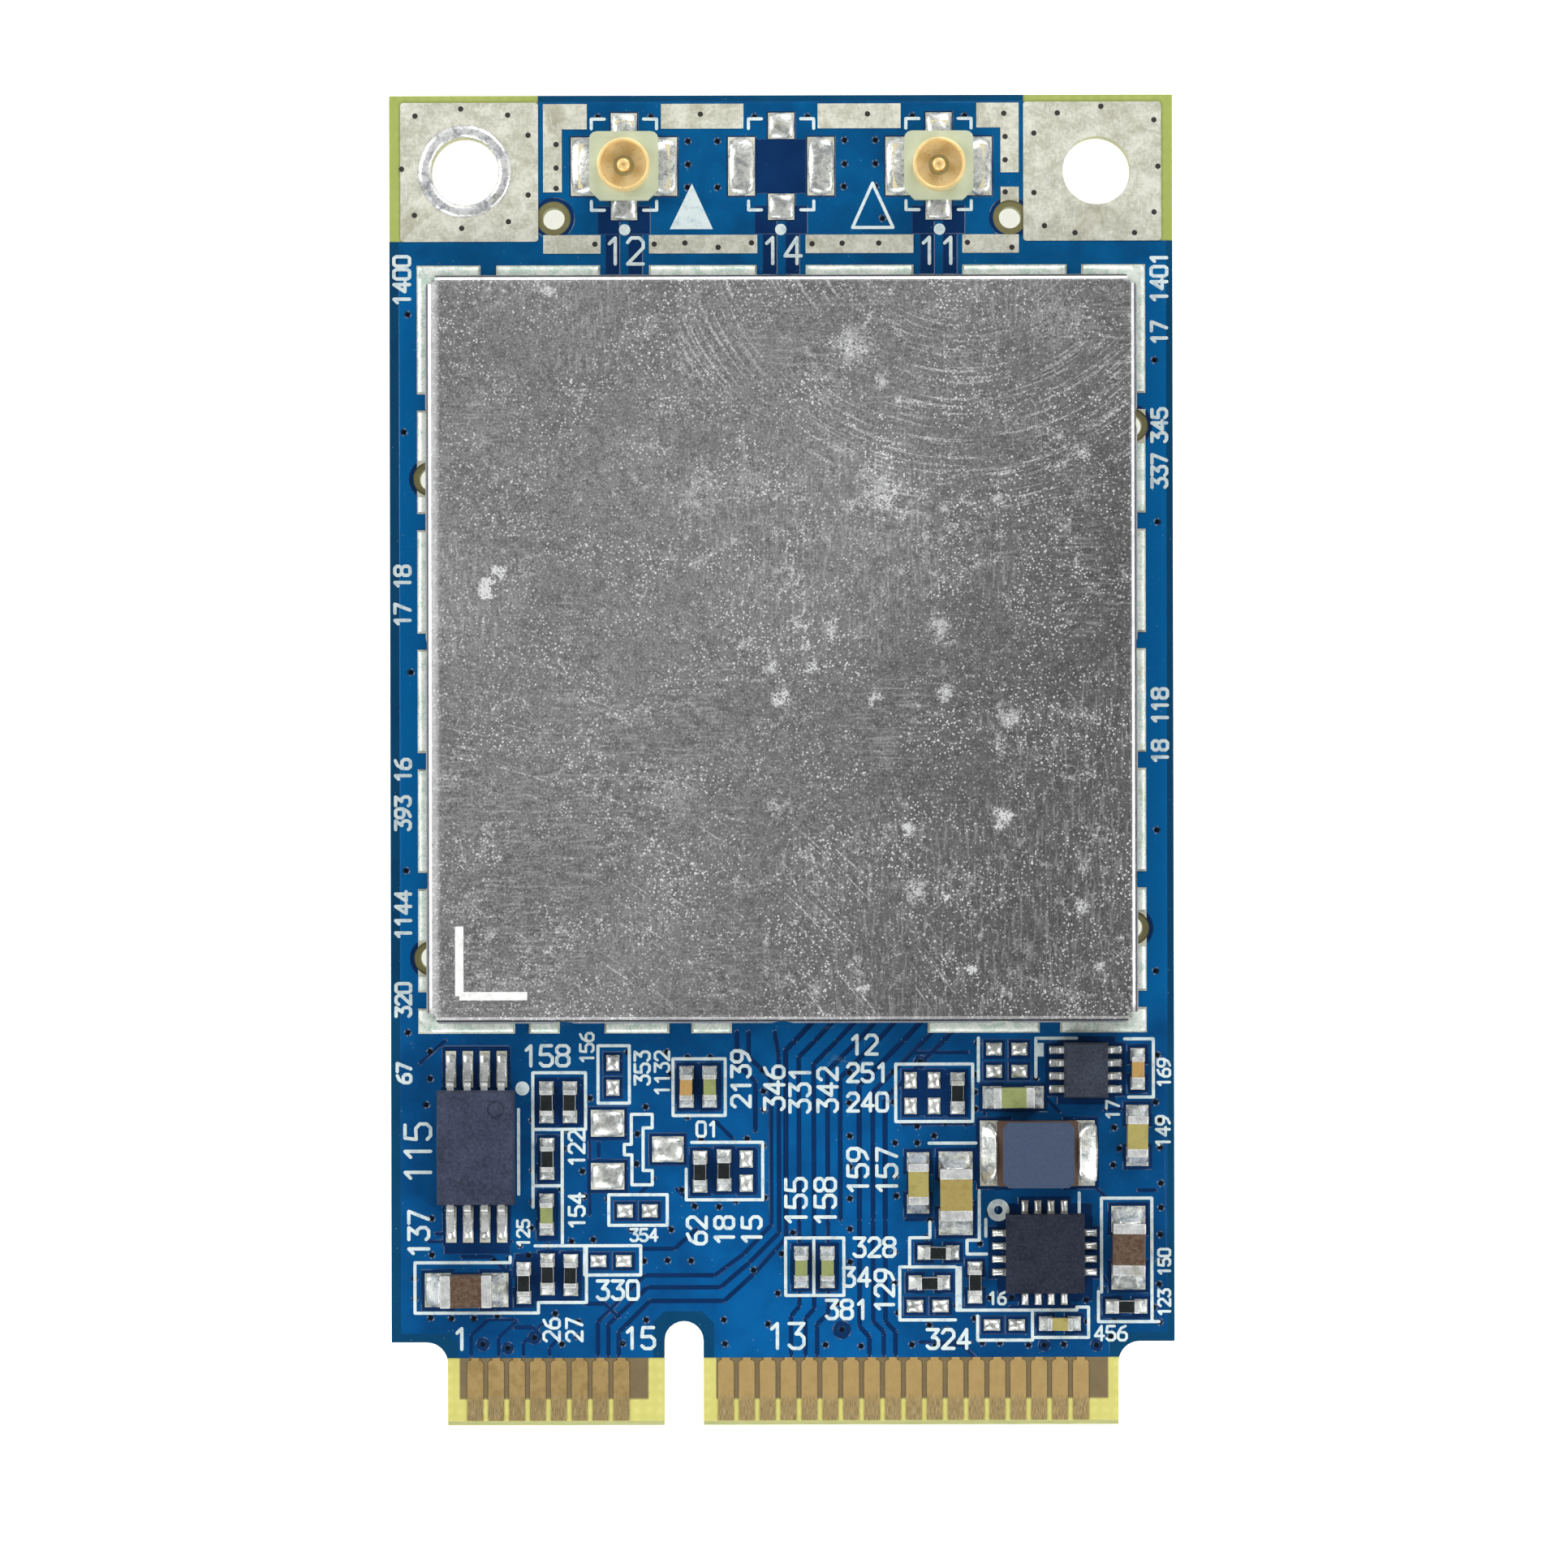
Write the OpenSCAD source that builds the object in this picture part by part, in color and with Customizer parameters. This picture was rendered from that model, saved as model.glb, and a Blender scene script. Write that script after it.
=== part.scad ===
// Wifi module: a radio card with a keyed contact edge, a shield can and two push-on coax receptacles.
// Millimetres. X runs across the card, +Y points from the contact edge to the antenna end, +Z is up.
// The origin is the middle of the card's underside.

/* [Board] */
// Width of the card
board_w = 30; // [29.95:0.05:30.4]
// Length of the card, contact edge included
board_l = 50.95; // [50.9:0.05:51.2]
// Thickness of the card
board_t = 1; // [0.9:0.05:1.2]
// Thickness of the solder resist and of the copper
mask_t = 0.04; // [0.03:0.01:0.06]
// How far the tinned pads stand above the solder resist
pad_proud = 0.02; // [0.01:0.01:0.04]

/* [Contact edge] */
// Width of the tongue that enters the socket
tongue_w = 25.7; // [25.6:0.05:25.8]
// Height of the tongue
tongue_h = 3.2; // [3.1:0.05:3.3]
// Radius of the hollow corners beside the tongue
tongue_fillet = 0.8; // [0.4:0.1:1]
// Width of the key notch
key_w = 1.5; // [1.3:0.05:1.6]
// Depth of the key notch from the contact edge
key_depth = 4; // [3.8:0.1:4.1]
// Middle of the key notch
key_x = -3.8; // [-3.85:0.05:-3.75]
// Width of one gold contact
finger_w = 0.6; // [0.4:0.05:0.65]
// Distance from one contact to the next
finger_pitch = 0.8; // [0.79:0.005:0.81]

/* [Mounting holes] */
// Diameter of the two screw holes
hole_d = 2.6; // [2.4:0.1:2.8]
// Distance between the screw holes
hole_spacing = 24.2; // [24:0.1:24.4]
// Distance of the screw holes from the contact edge
hole_from_edge = 48.05; // [47.9:0.05:48.2]

/* [Shield can] */
// Outer width of the lid
lid_w = 27; // [26.9:0.05:27.1]
// Outer length of the lid
lid_l = 28.4; // [28.3:0.05:28.5]
// Height of the lid's top above the board
lid_h = 1.93; // [1.8:0.01:2.3]
// Thickness of the lid's sheet
lid_t = 0.15; // [0.12:0.01:0.2]
// Thickness of the fence's sheet
fence_t = 0.2; // [0.15:0.01:0.25]
// Middle of the can along the card
can_y = 4.26; // [4.2:0.01:4.3]

/* [Coax receptacles] */
// Outer diameter of the gold shell
coax_d = 2; // [1.9:0.05:2.1]
// Height of a receptacle above its pads
coax_h = 1.25; // [1.15:0.05:1.4]
// Side of the square insulator
coax_base = 2.64; // [2.5:0.02:2.7]

/* [Hidden] */
$fn = 48;
eps = 0.01;

// Levels
core_top = board_t - mask_t;
pad_top = board_t + pad_proud;
pocket = mask_t;

// Places along the card
edge_y = -board_l / 2;
far_y = board_l / 2;
tongue_y = edge_y + tongue_h;
hole_y = edge_y + hole_from_edge;
mask_end = tongue_y - 0.6;

// Contacts: x of the first one and how many, on each side of the key
top_groups = [[-11.8, 8], [-2.2, 18]];
bottom_groups = [[-11.4, 8], [-1.8, 18]];
finger_end = edge_y + 0.2;
finger_top = tongue_y - 0.7;
bevel_y = 0.18;
bevel_z = 0.16;

// Bare corner at each screw hole: inner x, lower y, and the rim of bare laminate round the land
corner_x = 9.29;
corner_y = 19.88;
corner_rim = 0.43;
corner_top_rim = 0.27;

// Unplated tooling holes
tool_holes = [[-8.7, 20.77], [8.78, 20.78], [-13.45, 10.8], [-13.45, -7.56], [13.4, 12.8], [13.4, -6.45]];
tool_r = 0.42;
tool_bare_r = 0.66;

// Coax receptacle sites: a, the empty middle one, and b
coax_sites = [-6, 0.02, 6.05];
coax_y = 22.75;
coax_wall = 0.12;

// Tinned ground bars as [x0, y0, x1, y1]
bars = [
    [-9.1, 24.18, -7.42, 25.15], [-9.1, 21.77, -8.38, 24.18],
    [-4.58, 24.2, -1.42, 25.15], [1.42, 24.2, 4.6, 25.15],
    [7.5, 24.22, 9.12, 25.17], [8.42, 22.5, 9.12, 24.22], [8.42, 21.3, 9.12, 21.95],
    [-9.1, 19.42, -6.9, 20.13], [-5.05, 19.42, -0.9, 20.13],
    [0.95, 19.42, 5.08, 20.13], [6.95, 19.42, 9.12, 20.13]];

// Shield can
can_land_w = 27.9;
can_land_l = 29.42;
can_land_t = 0.9;
land_gap = 0.62;
side_pitch = 4.58;
side_gaps = [for (i = [0:5]) 13.73 - side_pitch * i];
top_gaps = [[-11.5, -10.9], [-6.92, -5.05], [-0.92, 0.95], [5.08, 6.95], [10.95, 11.5]];
bottom_gaps = [[-10.24, -9.71], [-8.53, -6.82], [-4.33, -3.49], [-1.94, 5.56], [9.85, 10.63]];
lid_top = board_t + lid_h;
lid_under = lid_top - lid_t;
lid_r = 0.25;
skirt_end = board_t + 0.42;
flare = 0.11;
flare_h = 0.2;
corner_cut = 0.34;
fence_gap = 0.02;
fence_w = lid_w - 2 * lid_t - 2 * fence_gap;
fence_l = lid_l - 2 * lid_t - 2 * fence_gap;
fence_lip = 0.9;
fence_bend = 0.16;
arch_h = 0.3;
wall_y = can_y + 1.6;
bar_w = 1.6;
dimple_r = 0.5;
dimple_in = 0.1;

// Chip sizes [x, y, z] and places
memory_at = [-11.73, -14.78];
memory_size = [3, 4.4, 0.98];
switch_at = [11.6, -11.87];
switch_size = [1.7, 2.13, 0.8];
regulator_at = [10.02, -18.88];
regulator_size = [3, 3, 0.85];
inductor_at = [9.75, -15.07];
inductor_size = [3.2, 2.5, 1.55];

// Chip resistors and capacitors: [length, width, resistor height, capacitor height, pad reach, pad inner end]
sizes = [[1, 0.5, 0.35, 0.5], [1.6, 0.8, 0.45, 0.8], [2, 1.25, 0.5, 1.05]];
pad_reach = [0.8, 1.17, 1.6];
pad_inner = [0.3, 0.45, 0.6];
pad_extra = 0.05;

// Resistors as [x, y, turn]
resistors = [
    [-9.05, -13.08, 90], [-8.15, -13.08, 90], [-9.03, -15.25, 90], [-9.93, -20, 90],
    [-9.02, -19.67, 90], [-8.13, -19.7, 90], [-3.17, -15.75, 90], [-2.25, -15.7, 90],
    [6.7, -12.77, 90], [5.95, -18.87, 0], [5.6, -20.02, 0], [7.35, -20.02, 90], [13.15, -20.95, 0]];

// Capacitors as [x, y, turn, size, colour]
capacitors = [
    [-9.05, -17.38, 90, 0, "olive"], [-3.68, -12.5, 90, 0, "peru"], [-2.8, -12.5, 90, 0, "olive"],
    [0.7, -19.42, 90, 0, "olive"], [1.7, -19.42, 90, 0, "olive"], [10.6, -21.6, 0, 0, "tan"],
    [13.6, -11.85, 90, 0, "peru"], [5.18, -16.2, 90, 1, "tan"], [13.58, -14.4, 90, 1, "tan"],
    [8.83, -12.93, 0, 1, "olive"], [6.62, -16.6, 90, 2, "tan"], [13.23, -18.7, 90, 2, "sienna"],
    [-12.12, -20.27, 0, 2, "sienna"]];

// Pads that carry no part, as [x, y, width, height]
empty_pads = [
    [-6.5, -11.58, 0.5, 0.6], [-6.5, -12.53, 0.5, 0.6],
    [-6.71, -13.89, 1.28, 1.02], [-6.71, -15.92, 1.28, 1.02], [-4.4, -14.89, 1.2, 0.98],
    [-6.05, -17.25, 0.6, 0.5], [-5.1, -17.25, 0.6, 0.5],
    [-1.4, -15.27, 0.5, 0.65], [-1.4, -16.2, 0.5, 0.65],
    [-7.07, -19.17, 0.6, 0.45], [-6.1, -19.17, 0.6, 0.45],
    [4.9, -12.27, 0.47, 0.62], [5.8, -12.27, 0.47, 0.62],
    [4.9, -13.25, 0.47, 0.62], [5.8, -13.25, 0.47, 0.62],
    [8.1, -11.08, 0.6, 0.48], [9.07, -11.08, 0.6, 0.48],
    [8.1, -11.93, 0.6, 0.48], [9.07, -11.93, 0.6, 0.48],
    [5.05, -20.92, 0.62, 0.47], [6.03, -20.92, 0.62, 0.47],
    [8, -21.65, 0.62, 0.43], [8.95, -21.65, 0.62, 0.43]];

// ---------- helpers ----------

// Points along an arc about c
function arc(c, r, a0, a1, n = 6) =
    [for (i = [0:n]) let (a = a0 + (a1 - a0) * i / n) [c[0] + r * cos(a), c[1] + r * sin(a)]];

// Outline of a rectangle w by h about the origin, with its corners turned by r
function soft_rect(w, h, r, n = 3) = concat(
    arc([w / 2 - r, h / 2 - r], r, 0, 90, n), arc([r - w / 2, h / 2 - r], r, 90, 180, n),
    arc([r - w / 2, r - h / 2], r, 180, 270, n), arc([w / 2 - r, r - h / 2], r, 270, 360, n));

// Side outline of a gull-wing lead: leaves the body at height h, ends in a foot at reach
function gull_outline(h, start, reach, t, r) = let (inner = r - t / 2, outer = r + t / 2, zc = outer) concat(
    [[-0.2, h + t / 2]],
    arc([start, h - r], outer, 90, 0), arc([start + 2 * r, zc], inner, 180, 270),
    [[reach, t], [reach, 0]],
    arc([start + 2 * r, zc], outer, 270, 180), arc([start, h - r], inner, 0, 90),
    [[-0.2, h - t / 2]]);

// Side outline of the lid's edge: 1 mm of top, a bend, the skirt and its flared end. u = 0 is the skirt's face
function skirt_outline() = let (a = atan2(flare, flare_h), z_flare = skirt_end + flare_h, slant = lid_t / cos(a))
    concat([[-1, lid_top]], arc([-lid_r, lid_top - lid_r], lid_r, 90, 0),
        [[0, z_flare], [flare, skirt_end], [flare - slant, skirt_end],
         [-lid_t, z_flare - (slant - lid_t) / tan(a)]],
        arc([-lid_r, lid_top - lid_r], lid_r - lid_t, 0, 90), [[-1, lid_under]]);

// Flat plate between two corners [x0, y0, x1, y1]
module plate(box, z0, z1) {
    translate([box[0], box[1], z0]) cube([box[2] - box[0], box[3] - box[1], z1 - z0]);
}

// Flat plate of a size about a point
module pad(x, y, w, h, z0 = core_top, z1 = pad_top) {
    translate([x - w / 2, y - h / 2, z0]) cube([w, h, z1 - z0]);
}

// Block with its twelve edges turned
module soft_block(size, r) {
    intersection() {
        linear_extrude(size[2]) polygon(soft_rect(size[0], size[1], r));
        translate([-size[0] / 2, 0, size[2] / 2]) rotate([90, 0, 90])
            linear_extrude(size[0]) polygon(soft_rect(size[1], size[2], r));
        translate([0, size[1] / 2, size[2] / 2]) rotate([90, 0, 0])
            linear_extrude(size[1]) polygon(soft_rect(size[0], size[2], r));
    }
}

// Moulded chip body: both halves lean in from the parting line
module moulded_body(size, lean) {
    function side(w) = [[-w / 2 + lean, 0], [w / 2 - lean, 0], [w / 2, size[2] / 2],
                        [w / 2 - lean, size[2]], [-w / 2 + lean, size[2]], [-w / 2, size[2] / 2]];
    intersection() {
        translate([-size[0] / 2 - 1, 0, 0]) rotate([90, 0, 90]) linear_extrude(size[0] + 2) polygon(side(size[1]));
        translate([0, size[1] / 2 + 1, 0]) rotate([90, 0, 0]) linear_extrude(size[1] + 2) polygon(side(size[0]));
    }
}

// ---------- board ----------

module screw_holes_2d(r) {
    for (s = [-1, 1]) translate([s * hole_spacing / 2, hole_y]) circle(r);
}

module tool_holes_2d(r) {
    for (p = tool_holes) translate(p) circle(r);
}

module board_outline() {
    difference() {
        union() {
            translate([-board_w / 2, tongue_y]) square([board_w, board_l - tongue_h]);
            translate([-tongue_w / 2, edge_y]) square([tongue_w, tongue_h + eps]);
            for (s = [-1, 1]) translate([s * (tongue_w + tongue_fillet) / 2, tongue_y - tongue_fillet / 2])
                square([tongue_fillet, tongue_fillet], center = true);
        }
        for (s = [-1, 1]) translate([s * (tongue_w / 2 + tongue_fillet), tongue_y - tongue_fillet])
            circle(tongue_fillet);
        translate([key_x - key_w / 2, edge_y - 1]) square([key_w, key_depth + 1 - key_w / 2]);
        translate([key_x, edge_y + key_depth - key_w / 2]) circle(key_w / 2);
        screw_holes_2d(hole_d / 2);
        tool_holes_2d(tool_r);
    }
}

// One contact: square at the edge, round shoulders and a neck towards the resist
module finger_2d(x, neck) {
    r = 0.14;
    translate([x - finger_w / 2, finger_end]) square([finger_w, finger_top - finger_end - r]);
    translate([x - finger_w / 2 + r, finger_end]) square([finger_w - 2 * r, finger_top - finger_end]);
    for (s = [-1, 1]) translate([x + s * (finger_w / 2 - r), finger_top - r]) circle(r);
    if (neck) translate([x - finger_w / 4, finger_top - r]) square([finger_w / 2, mask_end - finger_top + r]);
}

module fingers_2d(groups, neck) {
    for (g = groups, i = [0:g[1] - 1]) finger_2d(g[0] + i * finger_pitch, neck);
}

// The two tinned corner lands round the screw holes
module corner_lands_2d() {
    difference() {
        for (s = [-1, 1]) translate([s * (corner_x + board_w / 2 - corner_rim) / 2, (corner_y + far_y - corner_top_rim) / 2])
            polygon(soft_rect(board_w / 2 - corner_rim - corner_x, far_y - corner_top_rim - corner_y, 0.12));
        screw_holes_2d(hole_d / 2);
    }
}

module board() {
    color("darkkhaki") difference() {
        linear_extrude(core_top) board_outline();
        translate([0, 0, -1]) linear_extrude(1 + pocket) fingers_2d(bottom_groups, true);
        translate([0, 0, -1]) linear_extrude(1 + pocket) corner_lands_2d();
        for (z = [0, core_top]) translate([-board_w / 2, edge_y, z]) rotate([90, 0, 90])
            linear_extrude(board_w) polygon([[-1, z == 0 ? -1 : 1], [-1, 0],
                [0, z == 0 ? bevel_z : -bevel_z], [bevel_y, 0], [bevel_y, z == 0 ? -1 : 1]]);
    }
}

// ---------- copper and resist ----------

module ground_bars() {
    color("lightgray") difference() {
        for (b = bars) plate(b, core_top, pad_top);
        for (p = tool_holes) translate([p[0], p[1], 0]) cylinder(h = 3, r = tool_bare_r);
    }
}

module bars_2d() {
    for (b = bars) translate([b[0], b[1]]) square([b[2] - b[0], b[3] - b[1]]);
}

// The broken ring of lands that the fence stands on
module shield_lands_2d() {
    difference() {
        translate([0, can_y]) square([can_land_w, can_land_l], center = true);
        translate([0, can_y]) square([can_land_w - 2 * can_land_t, can_land_l - 2 * can_land_t], center = true);
        for (y = side_gaps) translate([0, y]) square([can_land_w + 1, land_gap], center = true);
        for (g = top_gaps) translate([g[0], can_y + can_land_l / 2 - 1]) square([g[1] - g[0], 2]);
        for (g = bottom_gaps) translate([g[0], can_y - can_land_l / 2 - 1]) square([g[1] - g[0], 2]);
        tool_holes_2d(tool_bare_r);
    }
}

module shield_lands() {
    color("lightgray") translate([0, 0, core_top]) linear_extrude(pad_top - core_top) shield_lands_2d();
}

module chip_pads_2d(at, turn, size) {
    long = pad_reach[size] - pad_inner[size];
    wide = sizes[size][1] + pad_extra;
    translate(at) rotate(turn) for (s = [-1, 1])
        translate([s * (pad_reach[size] + pad_inner[size]) / 2, 0]) square([long, wide], center = true);
}

module coax_pads_2d(x) {
    translate([x, coax_y]) {
        for (s = [-1, 1]) translate([s * 1.52, 0]) square([1.03, 2.24], center = true);
        for (s = [-1, 1]) translate([0, s * 1.55]) square([1, 1], center = true);
    }
}

module part_pads_2d() {
    for (x = coax_sites) coax_pads_2d(x);
    for (r = resistors) chip_pads_2d([r[0], r[1]], r[2], 0);
    for (c = capacitors) chip_pads_2d([c[0], c[1]], c[2], c[3]);
    for (p = empty_pads) translate([p[0], p[1]]) square([p[2], p[3]], center = true);
    // gull-wing chips
    for (i = [-1.5:1.5], s = [-1, 1]) {
        translate([memory_at[0] + i * 0.65, memory_at[1] + s * 2.97]) square([0.4, 1.4], center = true);
        translate([switch_at[0] + s * 1.1, switch_at[1] + i * 0.5]) square([0.56, 0.29], center = true);
    }
    // regulator: four pads a side and the middle land
    for (turn = [0:90:270], i = [-1.5:1.5]) translate(regulator_at) rotate(turn)
        translate([1.7, i * 0.5]) square([0.6, 0.26], center = true);
    translate(regulator_at) square([1.6, 1.6], center = true);
    // inductor
    for (s = [-1, 1]) translate([inductor_at[0] + s * 1.65, inductor_at[1]]) square([1.1, 2.5], center = true);
}

module part_pads() {
    color("lightgray") translate([0, 0, core_top]) linear_extrude(pad_top - core_top) part_pads_2d();
}

module solder_mask() {
    color("royalblue") translate([0, 0, core_top]) linear_extrude(mask_t) difference() {
        intersection() {
            board_outline();
            translate([-board_w / 2, mask_end]) square([board_w, far_y - mask_end]);
        }
        for (s = [-1, 1]) translate([s * (corner_x + board_w / 2 + 1) / 2, (corner_y + far_y + 1) / 2])
            square([board_w / 2 + 1 - corner_x, far_y + 1 - corner_y], center = true);
        tool_holes_2d(tool_bare_r);
        bars_2d();
        shield_lands_2d();
        part_pads_2d();
    }
}

module mounting_lands() {
    color("gainsboro") {
        translate([0, 0, core_top]) linear_extrude(pad_top - core_top) corner_lands_2d();
        // raised rim of solder round the left hole
        translate([-hole_spacing / 2, hole_y, pad_top]) rotate_extrude()
            polygon([[1.38, 0], [1.43, 0.05], [1.55, 0.07], [1.66, 0.05], [1.72, 0]]);
    }
}

module contacts_top() {
    color("goldenrod") translate([0, 0, core_top]) linear_extrude(mask_t) fingers_2d(top_groups, true);
}

module contacts_bottom() {
    color("goldenrod") linear_extrude(pocket) fingers_2d(bottom_groups, true);
}

module back_lands() {
    color("gainsboro") linear_extrude(pocket) corner_lands_2d();
}

// ---------- shield can ----------

// Runs its children once for each dimple on the long and short sides, z along the dimple's axis, pointing in
module at_dimples() {
    z = board_t + lid_h * 0.52;
    for (s = [-1, 1], i = [-1:1]) {
        translate([s * lid_w / 2, can_y + i * lid_l * 0.31, z]) rotate([0, -s * 90, 0]) children();
        translate([i * lid_w * 0.31, can_y + s * lid_l / 2, z]) rotate([s * 90, 0, 0]) children();
    }
}

module shield_lid() {
    reach = dimple_r * dimple_r / (2 * dimple_in) + dimple_in / 2;
    color("silver") difference() {
        union() {
            translate([0, can_y, lid_under + lid_t / 2])
                cube([lid_w - 2 * lid_r, lid_l - 2 * lid_r, lid_t], center = true);
            for (turn = [0, 180]) {
                translate([0, can_y, 0]) rotate(turn) translate([lid_w / 2, lid_l / 2 - corner_cut, 0])
                    rotate([90, 0, 0]) linear_extrude(lid_l - 2 * corner_cut) polygon(skirt_outline());
                translate([0, can_y, 0]) rotate(turn) translate([corner_cut - lid_w / 2, lid_l / 2, 0])
                    rotate([90, 0, 90]) linear_extrude(lid_w - 2 * corner_cut) polygon(skirt_outline());
            }
            // inner side of the dimples
            at_dimples() intersection() {
                translate([0, 0, lid_t + dimple_in - reach]) sphere(reach, $fn = 64);
                translate([0, 0, lid_t / 2]) cylinder(h = 1, r = dimple_r);
            }
        }
        at_dimples() translate([0, 0, dimple_in - reach]) sphere(reach, $fn = 64);
    }
}

// The fence's outer form: a folded tray turned over, its top edges bent
module fence_block() {
    function side(w) = concat([[-w / 2, pad_top], [w / 2, pad_top]],
        arc([w / 2 - fence_bend, lid_under - fence_bend], fence_bend, 0, 90),
        arc([fence_bend - w / 2, lid_under - fence_bend], fence_bend, 90, 180));
    translate([0, can_y, 0]) intersection() {
        translate([0, 0, pad_top]) linear_extrude(lid_under - pad_top) polygon(soft_rect(fence_w, fence_l, 0.3));
        translate([-fence_w / 2, 0, 0]) rotate([90, 0, 90]) linear_extrude(fence_w) polygon(side(fence_l));
        translate([0, fence_l / 2, 0]) rotate([90, 0, 0]) linear_extrude(fence_l) polygon(side(fence_w));
    }
}

module shield_fence() {
    lip_z = lid_under - fence_t;
    inner_w = fence_w - 2 * fence_t;
    inner_l = fence_l - 2 * fence_t;
    window_w = fence_w - 2 * fence_lip;
    low_l = wall_y - bar_w / 2 - (can_y - fence_l / 2 + fence_lip);
    high_l = can_y + fence_l / 2 - fence_lip - (wall_y + bar_w / 2);
    color("darkgray") difference() {
        fence_block();
        // room inside, on both sides of the cross wall
        difference() {
            translate([0, can_y, 0]) linear_extrude(lip_z) polygon(soft_rect(inner_w, inner_l, 0.12));
            translate([0, wall_y, 0]) cube([fence_w, fence_t, 9], center = true);
        }
        // the two windows in the top
        for (w = [[can_y - fence_l / 2 + fence_lip + low_l / 2, low_l],
                  [can_y + fence_l / 2 - fence_lip - high_l / 2, high_l]])
            translate([0, w[0], lip_z - 1]) linear_extrude(3) polygon(soft_rect(window_w, w[1], 1.2));
        // arches over the tracks that pass under the fence
        for (y = side_gaps) translate([0, y, pad_top + arch_h / 2])
            cube([fence_w + 1, land_gap, arch_h + eps], center = true);
        for (g = top_gaps) translate([g[0], can_y + inner_l / 2 - 0.5, 0])
            cube([g[1] - g[0], 2, pad_top + arch_h]);
        for (g = bottom_gaps) translate([g[0], can_y - inner_l / 2 + 0.5 - 2, 0])
            cube([g[1] - g[0], 2, pad_top + arch_h]);
        for (x = [-9.5, -4.6, 0.3, 5.2, 10.1]) translate([x, wall_y, pad_top])
            cube([1.4, 1, 2 * arch_h], center = true);
        // holes that the lid's dimples snap into
        at_dimples() translate([0, 0, -1]) cylinder(h = 3, r = dimple_r + 0.08);
    }
}

// ---------- coax receptacles ----------

coax_floor = pad_top + 0.4;
tab_t = 0.12;
ring_foot = pad_top + 0.1;
pin_r = 0.25;

module coax_tabs_2d() {
    for (s = [-1, 1]) translate([s * 1.3, 0]) square([0.9, 1.7], center = true);
    translate([0, 1.3]) square([0.7, 0.9], center = true);
}

module coax_base_part(x) {
    b = coax_base / 2;
    cut = 0.4;
    color("beige") translate([x, coax_y, 0]) difference() {
        translate([0, 0, pad_top]) linear_extrude(coax_floor - pad_top)
            polygon(concat([[cut - b, -b], [b - cut, -b], [b, cut - b]],
                arc([b - 0.28, b - 0.28], 0.28, 0, 90, 3), arc([0.28 - b, b - 0.28], 0.28, 90, 180, 3),
                [[-b, cut - b]]));
        translate([0, 0, ring_foot]) difference() {
            cylinder(h = 3, r = coax_d / 2);
            translate([0, 0, -1]) cylinder(h = 5, r = coax_d / 2 - coax_wall);
        }
        translate([0, 0, pad_top - 1]) linear_extrude(1 + tab_t) coax_tabs_2d();
        translate([-pin_r, -3, pad_top - 1]) cube([2 * pin_r, 3, 1 + ring_foot - pad_top]);
        translate([0, 0, pad_top - 1]) cylinder(h = 5, r = pin_r);
    }
}

module coax_shell_part(x) {
    r = coax_d / 2;
    top = pad_top + coax_h;
    color("gold") translate([x, coax_y, 0]) {
        rotate_extrude() polygon(concat(
            [[r - coax_wall, ring_foot], [r, ring_foot], [r, coax_floor + 0.16], [r - 0.05, coax_floor + 0.24],
             [r - 0.05, top - 0.32], [r, top - 0.24]],
            arc([r - 0.06, top - 0.06], 0.06, 0, 180, 6), [[r - coax_wall, coax_floor + 0.06],
            [0.4, coax_floor + 0.06], [0.4, coax_floor], [r - coax_wall, coax_floor]]));
        translate([0, 0, pad_top]) linear_extrude(tab_t) difference() {
            coax_tabs_2d();
            circle(r - coax_wall);
        }
    }
}

module coax_pin_part(x) {
    top = pad_top + coax_h - 0.35;
    color("gold") translate([x, coax_y, 0]) {
        difference() {
            rotate_extrude() polygon(concat([[0, pad_top], [pin_r, pad_top]],
                arc([pin_r - 0.1, top - 0.1], 0.1, 0, 90, 5), [[0, top]]));
            translate([0, 0, top - 0.06]) cylinder(h = 1, r = 0.08);
        }
        translate([-0.2, -1.75, pad_top]) cube([0.4, 1.75, ring_foot - pad_top - 0.02]);
    }
}

// ---------- chips ----------

module memory_chip() {
    color("dimgray") translate([memory_at[0], memory_at[1], pad_top + 0.07]) difference() {
        moulded_body(memory_size, 0.07);
        translate([0.78, 1.48, memory_size[2] - 0.05]) cylinder(h = 1, r = 0.33);
        gull_row(4, 0.65, 0.26, memory_size[1] / 2, memory_size[2] / 2, 3.25, 0.15, true);
    }
}

// Rows of leads on the two ends along Y: count, pitch, width, body half length, height, reach, thickness
module gull_row(count, pitch, width, half, h, reach, t, inside = false) {
    for (turn = [0, 180]) rotate(turn) for (i = [0:count - 1])
        translate([(i - (count - 1) / 2) * pitch, half, 0])
            if (inside) translate([-width / 2, -0.2, h - t / 2]) cube([width, 0.2, t]);
            else translate([-width / 2, 0, 0]) rotate([90, 0, 90]) linear_extrude(width)
                polygon(gull_outline(h, 0.12, reach - half, t, 0.13));
}

module memory_leads() {
    color("silver") translate([memory_at[0], memory_at[1], pad_top])
        gull_row(4, 0.65, 0.26, memory_size[1] / 2, 0.07 + memory_size[2] / 2, 3.25, 0.15);
}

module switch_chip() {
    color("dimgray") translate([switch_at[0], switch_at[1], pad_top + 0.07]) difference() {
        moulded_body(switch_size, 0.06);
        rotate(90) gull_row(4, 0.5, 0.2, switch_size[0] / 2, switch_size[2] / 2, 1.33, 0.12, true);
    }
}

module switch_leads() {
    color("silver") translate([switch_at[0], switch_at[1], pad_top])
        for (turn = [90, 270]) rotate(turn) for (i = [-1.5:1.5])
            translate([i * 0.5 - 0.1, switch_size[0] / 2, 0]) rotate([90, 0, 90]) linear_extrude(0.2)
                polygon(gull_outline(0.07 + switch_size[2] / 2, 0.06, 0.48, 0.12, 0.1));
}

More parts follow.
